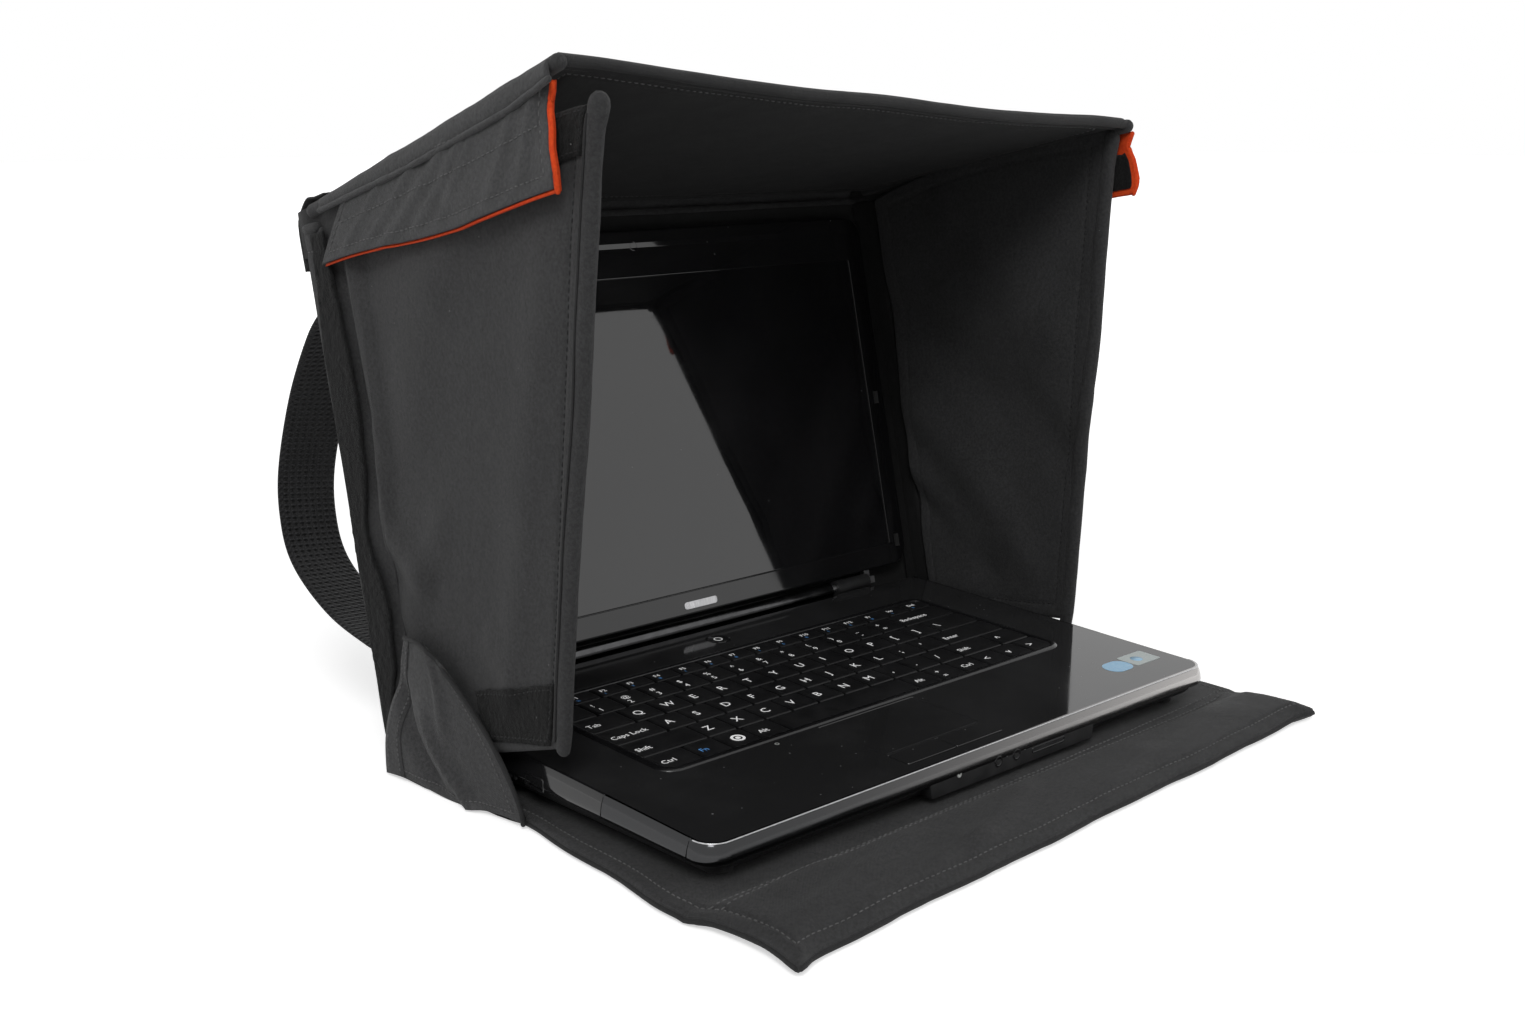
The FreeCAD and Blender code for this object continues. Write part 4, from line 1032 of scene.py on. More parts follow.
def gusset(name, sign):
    """The triangle of loose cloth that closes the foot of the back corner."""
    foot_rear = (sign * 202, 113, 0.9)
    foot_front = (sign * on_side(sign, 193.5, 200.5), on_side(sign, 6.5, 9), 2.4)
    tip_rear, tip_front = (sign * 202.6, 88.5, 77.5), (sign * 203.6, 58, 73)

    def bulge(u, v, width, height):
        s, t = forward(sign, u / width), v / height
        belly = 3.6 * hump(s) * hump(t * 0.9 + 0.08)
        crease = -3.2 * mound(s - 0.45 + 0.5 * t, 0.07) * ease(t / 0.15) * ease((0.85 - t) / 0.3)
        ridge = 2.6 * mound(s - 0.66 + 0.45 * t, 0.05) * ease((0.7 - t) / 0.3)
        ridge = ridge + 1.5 * mound(s - 0.5 - 0.2 * t, 0.05) * ease((t - 0.3) / 0.3)
        return belly + 1.5 * (crease + ridge)

    def bow(u, v):
        s = forward(sign, u)
        return points(0 * u, -11 * s**2 * hump(v)**0.7 + 5.5 * (1 - s) ** 2 * hump(v * 1.5),
                      1.2 * np.sin(s * 9) * (1 - v) ** 4 + 2.5 * hump(s) * v**6 - 2.5 * s**4 * v**4)
    sheet = panel(facing(sign, foot_rear, foot_front, tip_rear, tip_front), 2.0, step=2.2, rim=1.2, edge=0.7,
                  ripple=0.7, shift=bulge, bow=bow, seed=50)
    # the gusset's cloth and band use the lighter nylon: painted light, with real wear
    cloth = sheet.build(f"gusset_cloth_{name}", NYLON_WORN_PAINTED_LIGHT, "hood_base", stands_for=[f"gusset_{name}"])
    w, h = sheet.width, sheet.height
    group = f"gusset_stitches_{name}"

    def rear(d):
        return d if sign < 0 else w - d
    sew(group, sheet, [(rear(9.5), 5), (rear(w - 3), 5)], **SMALL)
    sew(group, sheet, [(rear(w - 4.5), 4), (rear(w - 4.5), h * 0.92)], **SMALL)
    border = np.vstack([sheet.column(rear(w), 0, h, 50), sheet.row(h, rear(w), rear(0), 12)])
    binding = tube(f"gusset_binding_{name}", border, 1.25, BINDING_AND_PAINTED_SHADE, "hood_base", step=2, rough=0.1)
    band = applied(f"gusset_band_{name}", sheet, [(rear(u), v) for v in (0.5, h - 0.5) for u in (0.4, 10.8)],
                   0.7, NYLON_WORN_PAINTED_LIGHT, "hood_base", "nylon_outer", flip=sign > 0, step=2.0)
    tape = APPLIED[f"gusset_band_{name}"]
    for inset in (1.9, tape.width - 1.9):
        sew(group, tape, [(inset, 3), (inset, tape.height - 3)], **SMALL)
    threads = place_threads(group, THREAD, "hood_base")
    crumple((cloth, threads, binding, band), f"side_{name}_swing", (0, 0, 1), (0, 0, 1), 0.3)


def applied(name, sheet, corners, thick, finish, body, slot_name, flip=False, step=2.5, fuzz=0.0,
            face="front", seed=60, stands_for=()):
    """A patch that follows a sheet's surface between four (u, v) places on it."""
    a, b, c, _ = corners = [np.asarray(p, float) for p in corners]
    width, height = np.linalg.norm(b - a), np.linalg.norm(c - a)
    us = np.linspace(0, 1, max(4, int(width / step)))
    vs = np.linspace(0, 1, max(4, int(height / step)))
    u, v = np.meshgrid(us, vs)
    flat = quad(corners, u, v)
    if fuzz:
        ragged = 0.5 * lumps(points(flat[..., 0], flat[..., 1], 0 * u), 3.0, seed + 5)
        for share, way in ((u, [1, 0]), (v, [0, 1])):
            flat = flat + (ragged * ((share < 0.01) | (share > 0.99)))[..., None] * way
    found = sheet.at(flat[..., 0].ravel(), flat[..., 1].ravel(), face)
    spots, normals = (each.reshape(u.shape + (3,)) for each in found)
    half = 0.25 + (thick / 2 - 0.25) * rounding(inside_of(u, v, width, height), 1.2)
    middle = spots + normals * (thick * 0.42)
    if fuzz:
        half = half + fuzz * (lumps(middle, 1.7, seed) + 0.7 * lumps(middle, 4.2, seed + 1))
    made = Sheet(us, vs, middle, np.maximum(half, 0.2), width, height)
    APPLIED[name] = made
    if not flip:
        return made.build(name, finish, body, slot_name, stands_for)
    made.front, made.rear, made.normal = made.rear, made.front, -made.normal
    piece = make_mesh(name, *flipped((made.verts(), made.faces())), finish, body, made.uv(),
                      slot_name=slot_name)
    if stands_for:
        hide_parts(*stands_for)
    return piece


def corner_curl(name, sign):
    """A fold of cloth that closes an upper back corner under the roof, made in the darker binding nylon as
    painted shade.
    """
    rise = on_side(sign, 2.5, -1.5)
    corners = facing(sign, BACK.at(sign * 197.6, 6.0, 262), BACK.at(sign * 198.4, -42, 263),
                     ROOF.at(sign * 197.0, 6.5, 1.5 + rise * 0.2), ROOF.at(sign * 198.2, -62, -0.5 + rise))

    def curl(u, v, width, height):
        s = forward(sign, u / width)
        return 1.5 * mound(s - 0.1, 0.12) * ease(v / height) - 1.2 * mound(s - 0.32, 0.1) * ease(v / height)
    sheet = panel(corners, 1.6, step=2.2, rim=1, ripple=0.5, shift=curl, seed=66)
    # the darker binding nylon here is painted shade under the roof
    cloth = sheet.build(f"corner_curl_{name}", BINDING_AND_PAINTED_SHADE, "hood_base")
    crumple([cloth], "roof_lift", BACK.back, BACK.at(0, 1, 270), 0.1)


# soft creases of the two side panels, as fold_lines() takes them
LEFT_FOLDS = [(12, 270, 17, 165, 5, 2.1), (17, 178, 8, 118, 5, 2.0), (4, 122, 46, 84, 8, 2.0),
              (8, 66, 70, 124, 12, 1.2), (120, 20, 152, 250, 16, 1.2), (40, 150, 62, 270, 20, 1.3),
              (95, 62, 130, 24, 9, 1.0), (60, 210, 120, 285, 16, 1.3)]
RIGHT_FOLDS = [(20, 20, 150, 150, 15, -2.0), (35, 95, 150, 215, 17, 1.9), (60, 10, 160, 90, 12, 1.6),
               (10, 150, 110, 265, 20, -1.7), (90, 30, 165, 120, 10, -1.3), (5, 90, 60, 150, 12, 1.2)]


def side_panels():
    for name, sign in SIDES:
        side_panel(name, sign)


def side_panel(name, sign):
    """A side panel with its soft folds, the roll down its front edge and its two hook patches."""
    body, x = f"side_{name}", sign * 193
    low, high = box(f"side_cover_{name}")
    rear_low, rear_high = BACK.at(x, -21.5, on_side(sign, 6, 10)), BACK.at(x, -21.5, 273)
    front_low = np.array([x, low[1] + on_side(sign, 16, 30), low[2] + on_side(sign, 16, -3.5)])
    front_high = np.array([x, low[1] + on_side(sign, -21.5, 10), high[2] + on_side(sign, 9.0, -8.5)])
    folds, depth = fold_lines(on_side(sign, LEFT_FOLDS, RIGHT_FOLDS)), on_side(sign, 2.1, 2.4)

    def bow(u, v):
        """The head of the panel rises to just under the roof."""
        s = forward(sign, u)
        return points(0 * u, 0, (on_side(sign, 7, 9.5) * hump(s) ** 0.6 + on_side(sign, 0, 4) * s) * v**4)
    sheet = panel(facing(sign, rear_low, front_low, rear_high, front_high), 5.6, bow=bow, step=4.6,
                  seams=(9,), groove=0.55, rim=2.6, ripple=0.7, shift=lambda *place: depth * folds(*place),
                  seed=70 + sign)
    # the inner face gets the nylon toned for the light inside the hood: painted light
    sheet.build(f"side_panel_cloth_{name}", (NYLON, NYLON_INSIDE_PAINTED_LIGHT), body,
                stands_for=[f"side_cover_{name}", f"side_board_{name}"])
    w, h = sheet.width, sheet.height

    def front(d):
        return w - d if sign < 0 else d
    for face in ("front", "rear"):
        sew(f"side_stitches_{name}", sheet, [(front(9), 10), (front(9), h - 8)], face)
        sew(f"side_stitches_{name}", sheet, [(front(9), 9), (front(w - 9), 9)], face)
    # the side seams' stitches in the darker binding nylon: painted shade in the seam groove
    place_threads(f"side_stitches_{name}", BINDING_AND_PAINTED_SHADE, body)
    steps = np.linspace(0, 1, 70)
    start = front_low + (front_low - front_high) * on_side(sign, 0.0, 0.012)
    line = start + (front_high - start) * steps[:, None]
    line[:, 0] += 0.8 * lumps(line * [0, 1, 1], 40, 80) + sign * 0.2
    line[:, 1] += 1.1 * lumps(line * [0, 1, 1], 55, 82)
    line[:, 1] -= on_side(sign, 1.5, 0.5) * mound(1 - steps, 0.02)
    radius = 4.4 + 0.3 * lumps(line, 18, 84) + 0.7 * mound(1 - steps, 0.025) - 0.6 * mound(steps, 0.02)
    hem = tube(f"side_hem_roll_{name}", line, radius, NYLON, body, rough=0.04, sides=24, hint=(1, 0, 0),
               flat=0.8)
    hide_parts(f"side_hem_{name}")
    welt = (line + [sign * 3.6, 2.2, 0])[1:-1]
    tube(f"side_hem_welt_{name}", welt, 0.7, BINDING_AND_PAINTED_SHADE, body, step=3, rough=0.15)
    foot = [(0.5, 0.028), (0.962, 0.008), (0.48, 0.118), (0.965, 0.115)]
    head = [(0.85, 0.925), (0.975, 0.93), (0.86, 0.998), (0.985, 0.999)]
    for label, shares, nodes in (("foot", foot, [f"hook_patches_{name}"]), ("head", head, ())):
        patch, places = f"hook_patch_{label}_{name}", [(front(w * (1 - a)), h * b) for a, b in shares]
        applied(patch, sheet, places, 1.5, HOOK, body, "hook_tape", flip=sign > 0, step=1.2, fuzz=0.22,
                stands_for=nodes)
        for run in outline_of(APPLIED[patch], 2.2):
            sew(f"patch_stitches_{name}", APPLIED[patch], run, count=12, pitch=3, length=2.1)
    place_threads(f"patch_stitches_{name}", BINDING_AND_PAINTED_SHADE, body)


def roof():
    """Roof panel with its front hem, its side rolls and flaps, and the cloth hinge at its rear."""
    length = 227
    corners = [ROOF.at(-197.5, 1.5 - length, 13.5), ROOF.at(194, 12 - length, -12.5),
               ROOF.at(-197.5, -9, 2.0), ROOF.at(197.0, -9, 0.2)]

    def sag(u, v, width, height):
        s, t = u / width, v / height
        return -2.6 * np.sin(math.pi * s) * (1 - 0.6 * t) + 0.8 * np.sin(s * 15) * mound(t, 0.12)

    def bow(u, v):
        return points(-2.0 * mound(u, 0.025) * mound(v, 0.05) + 1.5 * mound(1 - u, 0.025) * mound(v, 0.05),
                      -2.5 * mound(u, 0.03) * mound(v, 0.05) + 1.2 * np.sin(u * 13) * mound(v, 0.1), 0)
    sheet = panel(corners, 5.4, step=5, seams=(12,), groove=0.8, ripple=1.3, rim=2.8, shift=sag, bow=bow,
                  seed=90)
    # the roof's underside gets the darker nylon: painted shade
    sheet.build("roof_cloth", (NYLON, NYLON_PAINTED_SHADE), "roof", stands_for=["roof_cover", "roof_board"])
    w, h = sheet.width, sheet.height
    for face in ("front", "rear"):
        for run in outline_of(sheet, 12):
            sew("roof_stitches", sheet, run, face)
    for run in [[(u, 6), (u, h - 6)] for u in (5.5, w - 5.5)] + [[(14, h * 0.5), (w - 14, h * 0.5)]]:
        sew("roof_stitches", sheet, run)
    place_threads("roof_stitches", THREAD, "roof")
    edge = sheet.row(0.0, 0, w, 120) - ROOF.up * 2.2
    # the front hem in the darker binding nylon: painted shade along the roof's front edge
    tube("roof_front_hem", edge + ROOF.up * 0.3, 2.5 + 0.2 * lumps(edge, 16, 92), BINDING_AND_PAINTED_SHADE, "roof", rough=0.05,
         sides=18, hint=(0, 0.3, 1))
    tube("roof_front_welt", edge + [0, 5.5, -2.2], 0.8, BINDING_AND_PAINTED_SHADE, "roof", step=3, rough=0.15)
    for name, sign in SIDES:
        roof_side(name, sign, sheet.column(0.0 if sign < 0 else w, 0, h, 90) - ROOF.up * 2.4, h)
        flap(name, sign)
    roof_hinge()


def roof_side(name, sign, line, height):
    """The roll along one side of the roof, and the piped strip of cloth that covers the flap's root."""
    roll = 3.6 + 0.25 * lumps(line, 20, 95)
    tube(f"roof_side_roll_{name}", line + [sign * 0.4, 0, -0.5], roll, NYLON, "roof", rough=0.06, sides=18)
    drop = np.interp(np.linspace(0, 1, 90), [0, 0.15, 0.6, 1], [6.5, 9.5, 8.0, 3.5])[:, None]
    welt = (line + [sign * 4.4, 0, 0] - ROOF.up * drop)[1:-6]
    # the piping and the band below use the lighter nylon: painted light, with real wear
    piping = tube(f"roof_side_piping_{name}", welt + [sign * 0.9, 0, 0], 1.5, NYLON_WORN_PAINTED_LIGHT, "roof", step=2,
                  rough=0.2)
    t = np.linspace(0, 1, 7)[:, None, None]
    band = welt[None] * (1 - t) + (line + [sign * 3.5, 0, 0] + ROOF.up * 1.5)[None, 1:-6] * t
    sway = sign * (0.5 * lumps(band, 14, 96) + 0.8 * np.sin(math.pi * t[..., 0]))
    band = band + sway[..., None] * [1, 0, 0]
    half = 0.35 + 0.35 * ease(np.minimum(t[..., 0], 1 - t[..., 0]) / 0.2) + np.zeros(band.shape[:2])
    side = Sheet(np.linspace(0, 1, band.shape[1]), t[:, 0, 0], band[:, ::-1] if sign < 0 else band, half,
                 height, 11)
    strip = side.build(f"roof_side_band_{name}", NYLON_WORN_PAINTED_LIGHT, "roof")
    crumple((piping, strip), f"side_{name}_swing", *roof_plane(sign, 1.0), 0.5)


def roof_plane(sign, share):
    """Normal and a point of the roof near one side, following a share of the cloth roof's own tilt there."""
    up = ROOF.up + share * on_side(sign, 0.053, -0.062) * ROOF.back
    return up / np.linalg.norm(up), ROOF.at(sign * 200, -9, on_side(sign, 1.0, -0.8))


def roof_hinge():
    """Cloth from the back panel's top over the fold to the roof's rear edge."""
    profile = smooth_path([BACK.at(0, *place)[1:]
                           for place in ((6.3, 256), (6.6, 268), (6.4, 276), (4.4, 282.5))]
                          + [ROOF.at(0, *place)[1:] for place in ((-4, 6.0), (-11, 5.2), (-22, 4.6))], 26)
    width = 394
    us, vs = stations(width, 6, (), 3), np.linspace(0, 1, len(profile))
    u, v = np.meshgrid(us, vs)
    x = -198.6 + 397.2 * u
    tilt = -x / 200 * np.clip((v - 0.5) * 1.6, 0, 1) * 1.2
    middle = points(x, np.repeat(profile[:, :1], len(us), 1), np.repeat(profile[:, 1:], len(us), 1) + tilt)
    middle = middle + (0.35 * lumps(middle, 22, 97))[..., None] * [0, 0.7, 0.7]
    sheet = Sheet(us, vs, middle, 0.35 + 0.3 * ease(inside_of(u, v, width, 48) / 2), width,
                  run_length(profile))
    cloth = sheet.build("roof_hinge_cloth", NYLON)
    face = "rear" if sheet.normal[0, 5] @ BACK.back < 0 else "front"
    for v_place in (3, sheet.height - 3):
        sew("roof_hinge_stitches", sheet, [(3, v_place), (width - 3, v_place)], face)
    threads = place_threads("roof_hinge_stitches", THREAD)
    bend((cloth, threads), BACK.at(0, 6, 270), ROOF.at(0, -12, 5))


def flap(name, sign):
    """A side flap of the roof: outer cloth, orange lining that shows at its edges, and a hook strip."""
    body = f"flap_{name}"
    rear_low = np.array([sign * on_side(sign, 204.4, 203.0), 145, on_side(sign, 256, 255)])
    front_low = np.array([sign * on_side(sign, 204.6, 201.6), on_side(sign, -46, -41),
                          on_side(sign, 296.5, 283)])
    rear_high = np.array([sign * 201.4, 127, on_side(sign, 289, 285)])
    front_high = np.array([sign * 201.0, -40, on_side(sign, 340.5, 317)])
    # place, tilt, rise in mm and width; all but the rise are shares of the length
    creases = ((0.10, 0.12, 0.9, 0.018), (0.2, 0.2, 1.1, 0.02), (0.42, 0.22, 1.0, 0.022),
               (0.53, 0.16, 0.8, 0.016), (0.74, 0.12, 0.9, 0.02), (0.86, 0.08, 0.8, 0.018))

    def shift(u, v, width, height):
        s, t = forward(sign, u / width), v / height
        waves = 0.8 * np.sin(s * 11 + t * 2.5) * (1 - t)
        waves = waves + 1.3 * mound(s - 0.3 - 0.25 * t, 0.035) - 0.9 * mound(s - 0.62 + 0.2 * t, 0.05)
        for place, tilt, rise, spread in creases:
            waves = waves + rise * mound(s - place - tilt * t, spread) * ease(t / 0.2) * ease((1 - t) / 0.15)
        return waves + 1.6 * ease((s - 0.93) / 0.07) * np.sin(t * 5.5)

    def bow(u, v):
        s = forward(sign, u)
        return points(0 * u,
                      (3.0 * mound(v - 0.76, 0.15) - 1.8 * mound(v - 0.2, 0.16)) * ease((s - 0.9) / 0.1),
                      1.0 * np.sin(s * 8.0) * (1 - v) - 1.6 * np.sin(math.pi * s) * (1 - v))
    shape = dict(step=3.2, shift=shift, bow=bow, seed=100 + sign)
    sheet = panel(facing(sign, rear_low, front_low, rear_high, front_high), 1.9, rim=1.2, edge=0.6,
                  ripple=0.6, seams=(6,), groove=0.25, **shape)
    # the flap uses the lighter nylon: painted light from above, with real wear
    cloth = sheet.build(f"flap_cloth_{name}", NYLON_WORN_PAINTED_LIGHT, body, stands_for=[f"roof_flap_{name}"])
    w, h = sheet.width, sheet.height

    def from_front(width, runs):
        """Runs of (distance from the front edge, height) as places on a sheet of that width."""
        return [(width - d if sign < 0 else d, v) for d, v in runs]
    for run in ([(6, 6), (w - 5, 6)], [(6, 6), (6, h - 2)], [(7, h * 0.62), (w - 8, h * 0.56)],
                [(4, h - 2.5), (w - 4, h - 2.5)], [(w - 5, 6), (w - 5, h - 4)]):
        sew(f"flap_stitches_{name}", sheet, from_front(w, run))
    pieces = [cloth, place_threads(f"flap_stitches_{name}", THREAD, body)]

    out = np.array([sign * 1.0, 0, 0])
    inner = [rear_low + [0, 0.5, -1.2], front_low + [0, -1.6, -1.1], rear_high, front_high + [0, -1.2, 0]]
    lining = panel(facing(sign, *[p - out * 1.75 for p in inner]), 1.1, rim=0.8, edge=0.4, ripple=0.5,
                   **shape)
    pieces.append(lining.build(f"flap_lining_cloth_{name}", ORANGE, body, "orange_lining",
                               [f"flap_lining_{name}"]))
    lw, lh = lining.width, lining.height
    (front_u, _), (first_u, _), (last_u, _) = from_front(lw, [(0.6, 0), (0.5, 0), (lw - 4, 0)])
    thin = np.interp(np.linspace(0, 1, 90), [0, 0.3, 1], [0.85, 0.6, 0.45])
    for label, edge, radius, step in (("front", lining.column(front_u, 0, lh - 1, 40) + out * 0.9, 1.3, 2),
                                      ("low", lining.row(0.4, first_u, last_u, 90) + out * 0.5, thin, None)):
        pieces.append(tube(f"flap_{label}_piping_{name}", edge, radius, ORANGE, body, "orange_lining",
                           rough=0.08, step=step))
    strip = from_front(lw, [(2.4, 3.2), (lw - 30, 6), (2.4, lh - 12), (lw - 30, lh - 10)])
    pieces.append(applied(f"flap_hook_strip_{name}", lining, strip, 1.3, HOOK, body, "hook_tape",
                          flip=sign < 0, step=1.6, fuzz=0.15, face="rear", stands_for=[f"flap_hooks_{name}"]))
    crumple(pieces, f"side_{name}_swing", *roof_plane(sign, 0.5), 0.3)


def carry_strap():
    """Ribbed webbing that bows out from the back panel; its ends are sewn flat to the panel."""
    low, high = box("carry_strap")
    centre, half_width = (low[0] + high[0]) / 2 + 7, (high[0] - low[0]) / 2
    surface = 6.9
    path = smooth_path([(surface, 258), (surface + 0.2, 247), (15, 240), (38, 226), (67, 197), (87, 162),
                        (92.5, 134), (87, 107), (61, 79), (30, 62), (surface + 1.5, 55), (surface, 42)], 150)
    share = np.linspace(0, 1, len(path))
    loose = np.clip(hump((share - 0.1) / 0.8), 0, 1)[:, None]
    us = np.linspace(0, 1, 22)
    u, v = np.meshgrid(us, share)
    across = (u - 0.5) * 2 * half_width
    twist = 0.24 * loose
    x = centre + 6 * (1 - loose) + across * np.cos(twist) + 3.0 * np.sin(v * 7) * loose
    along = np.repeat(path[:, :1], len(us), 1) + across * np.sin(twist) * 0.8
    above = np.repeat(path[:, 1:], len(us), 1) - 0.1 * across * loose
    half = 0.5 + 0.6 * rounding(np.minimum(u, 1 - u) * 38, 1.3) + 0.08 * np.sin(u * TAU * 8)
    sheet = Sheet(us, share, BACK.at(x, along, above), half, half_width * 2, run_length(path))
    strap = sheet.build("carry_strap_webbing", WEBBING, None, "webbing", ["carry_strap", "strap_tabs"])
    outward = "front" if sheet.normal[10, 10] @ BACK.back > 0 else "rear"
    for v0, v1 in ((2, 22), (sheet.height - 2, sheet.height - 22)):
        box_and_cross = [(3, v0), (35, v0), (35, v1), (3, v1), (3, v0), (35, v1), (3, v1), (35, v0)]
        sew("strap_stitches", sheet, box_and_cross, outward, **SMALL)
    threads = place_threads("strap_stitches", THREAD)
    bend((strap, threads), BACK.at(0, surface + 3, 140), BACK.at(0, surface + 24, 140))
    for place in (239, 52):
        corners = [BACK.at(centre + side, surface - 1.3, place + up) for up in (-13, 13)
                   for side in (26, -13)]
        pad = panel(corners, 1.6, step=3, rim=1, ripple=0.2, seams=(2,), groove=0.2, seed=110)
        pad.build(f"strap_anchor_{place}", NYLON, "hood_base")


# ---------------------------------------------------------------- laptop

CORNER = 13          # outer corner radius seen from above
FLOOR = box("bottom_case")[0][2]
HALF_WIDTH = TRIM_HIGH[0]
FRONT_Y = TRIM_LOW[1]
REAR_Y = box("bottom_case")[1][1] + 2.6
SEAM_Y = FRONT_Y + 74   # the silver rim ends here on each side
KEY_GAP = 1.6
CAP_DEPTH = 2.4
KEY_ROW_UNITS = 15.25   # a full row's width, in key pitches
KEY_OVERHANG = 0.25     # a cap is this much bigger than its solid on each side


def between(x, y, t):
    """A row-frame point at share t of the way up from the case floor to the deck."""
    along = (y - DECK.origin[1]) / DECK.back[1]
    top = DECK.at(x, along, 0)[..., 2]
    return points(x, y, FLOOR + (top - FLOOR) * t)


def on_lid(x, up, along):
    return LID.at(x, along, up)


def case_shell():
    """Bottom case with its bellied sides, and the polished rim round the deck."""
    belly = [(16, 0), (12.5, 0), (9.8, 0.03), (8.0, 0.10), (6.2, 0.22), (3.8, 0.40), (2.4, 0.52), (2.0, 0.60),
             (2.0, 0.735)]

    def case_outline(inset):
        return rounded(-HALF_WIDTH, HALF_WIDTH, FRONT_Y, REAR_Y, CORNER, -inset, 8)
    hard("base_shell", loft(tiers(between, case_outline, belly)), CASE, angle=40, plan=PLAN,
         stands_for=["bottom_case"])
    path = np.vstack([rim_path(-1)[::-1], rim_path(1)])
    inset, t = np.array([(3.4, 1.004), (2.7, 1.004), (2.2, 0.985), (1.6, 0.93), (1.05, 0.86), (0.6, 0.78),
                         (0.25, 0.69), (0.05, 0.6), (0.0, 0.54), (0.3, 0.48), (1.0, 0.43), (2.0, 0.41),
                         (3.4, 0.46)]).T
    seen = (0.2 < t) & (t < 1.003)
    verts, faces = loft([between(x - nx * (inset + pinch * seen), y - ny * (inset + pinch * seen), t)
                         for x, y, nx, ny, pinch in path])
    behind_seam = [int(verts[face].mean(0)[1] > SEAM_Y) for face in faces]
    # the rim's front carries the chrome's painted reflection
    hard("deck_rim", (verts, faces), [TRIM, GLOSS], "polished_trim", angle=50, plan=PLAN, welded=True,
         stands_for=["edge_trim"], marks=behind_seam)
    # a bright steel bead along the crest of the front rim stands for the highlight there: a painted highlight
    x, y, nx, ny, _ = path[path[:, 1] < FRONT_Y + CORNER + 1].T
    crest = between(x - nx * 2.3, y - ny * 2.3, 0.985)
    tube("rim_bright_line", crest, 0.42, STEEL, "laptop_base", "polished_trim", step=3)


def rim_path(sign):
    """From mid front, round one corner, to the rear: x, y, outward direction and a pinch at each joint."""
    out = [(sign * x, FRONT_Y, 0, -1, 0) for x in np.linspace(0, HALF_WIDTH - CORNER, 14)[:-1]]
    for a in np.linspace(0, math.pi / 2, 12):
        nx, ny = math.sin(a), -math.cos(a)
        out.append((sign * (HALF_WIDTH - CORNER + CORNER * nx), FRONT_Y + CORNER + CORNER * ny, sign * nx, ny,
                    0))
    joints = (FRONT_Y + CORNER + 2, SEAM_Y)
    even = np.linspace(FRONT_Y + CORNER + 5, box("deck_cover")[1][1], 22)
    places = {p for p in even if all(abs(p - joint) > 1.2 for joint in joints)}
    places |= {joint + step for joint in joints for step in (-0.4, -0.15, 0, 0.15, 0.4)}
    for y in sorted(places):
        out.append((sign * HALF_WIDTH, y, sign, 0,
                    0.45 if min(abs(y - joint) for joint in joints) < 0.16 else 0))
    return np.array(out)


def opening_round(node, grow):
    """x limits and along limits of a node on the deck, grown by a margin."""
    low, high = box(node)
    return (low[0] - grow, high[0] + grow, DECK.locate(low)[0] - grow, DECK.locate(high)[0] + grow)


def deck():
    """Glossy plate with a raised lip round the keyboard and openings for pad, pad keys and power button."""
    top, chamfer, foot = 0.02, -0.3, -2.6
    keyboard_hole = opening_round("keyboard_tray", -3.0)
    left_key, right_key = (opening_round(f"pad_key_{side}", 0.2) for side in ("left", "right"))
    low, high = box("power_button")
    half = (high[0] - low[0]) / 2
    centre = (DECK.locate(low)[0] + DECK.locate(high)[0]) / 2
    button = (low[0] - 0.25, high[0] + 0.25, centre - half - 0.25, centre + half + 0.25)
    openings = [(keyboard_hole, 6, 6), (opening_round("touchpad", 0.2), 1.5, 4),
                ((left_key[0], right_key[1], *left_key[2:]), 1.5, 4), (button, half, 10)]
    holes, grown = [[rounded(*limits, radius, grow, steps) for limits, radius, steps in openings]
                    for grow in (0, 0.25)]
    inset = 3.0
    outer = rounded(-HALF_WIDTH, HALF_WIDTH, 0, DECK_DEPTH, CORNER, -inset, 8)
    squared = np.minimum(outer[:, 1] + inset, DECK_DEPTH)
    outer[:, 1] = np.where(outer[:, 1] > DECK_DEPTH - CORNER, squared, outer[:, 1])
    parts = [plate(lambda x, y: DECK.at(x, y, top), [outer] + grown)]
    for wide, tight in zip(grown, holes):
        wall = [DECK.at(*loop.T, h)
                for loop, h in ((wide, top), (tight, chamfer), (tight, foot), (wide, foot))]
        parts.append(flipped(loft(wall, False)))
    parts.append(flipped(loft([DECK.at(*outer.T, h) for h in (top, foot)], False)))
    parts.append(flipped(plate(lambda x, y: DECK.at(x, y, foot), [outer] + grown)))
    # the deck plate's paler gloss black is painted light, with real dust
    hard("deck_plate", merge(parts), DECK_GLOSS_PAINTED_LIGHT, "gloss_black", angle=30, plan=PLAN, welded=True,
         stands_for=["deck_cover"])
    section = [(-1.0, -1.35), (-1.2, 0.18), (-0.85, 0.855), (0.1, 1.215), (1.4, 1.125), (2.5, 0.63),
               (3.2, 0.045), (3.2, -0.36), (-0.9, -1.35)]
    lip = hoop(tiers(DECK.at, lambda grow: rounded(*keyboard_hole, 7, grow, 8), section))
    hard("keyboard_lip", lip, SATIN, "gloss_black", angle=50, plan=PLAN, welded=True)


def cap(x0, x1, a0, a1, top, dish=0.22):
    """One dished key cap as (verts, faces)."""
    slope, bottom = 1.1, top - CAP_DEPTH
    middle = np.array([(x0 + x1) / 2, (a0 + a1) / 2])
    half = np.array([(x1 - x0) / 2, (a1 - a0) / 2])
    outline = rounded(x0, x1, a0, a1, 1.6, 0, 3)
    section = [(0, bottom), (0, top - 0.75), (-0.12, top - 0.45), (-slope * 0.6, top - 0.08), (-slope, top),
               (-slope - 0.5, top), (-slope - 2.0, top - dish * 0.6), (-slope - 3.8, top - dish)]

    def grown(by):
        return middle + (outline - middle) * np.maximum((half + by) / half, 0.12)
    return loft(tiers(DECK.at, grown, section))


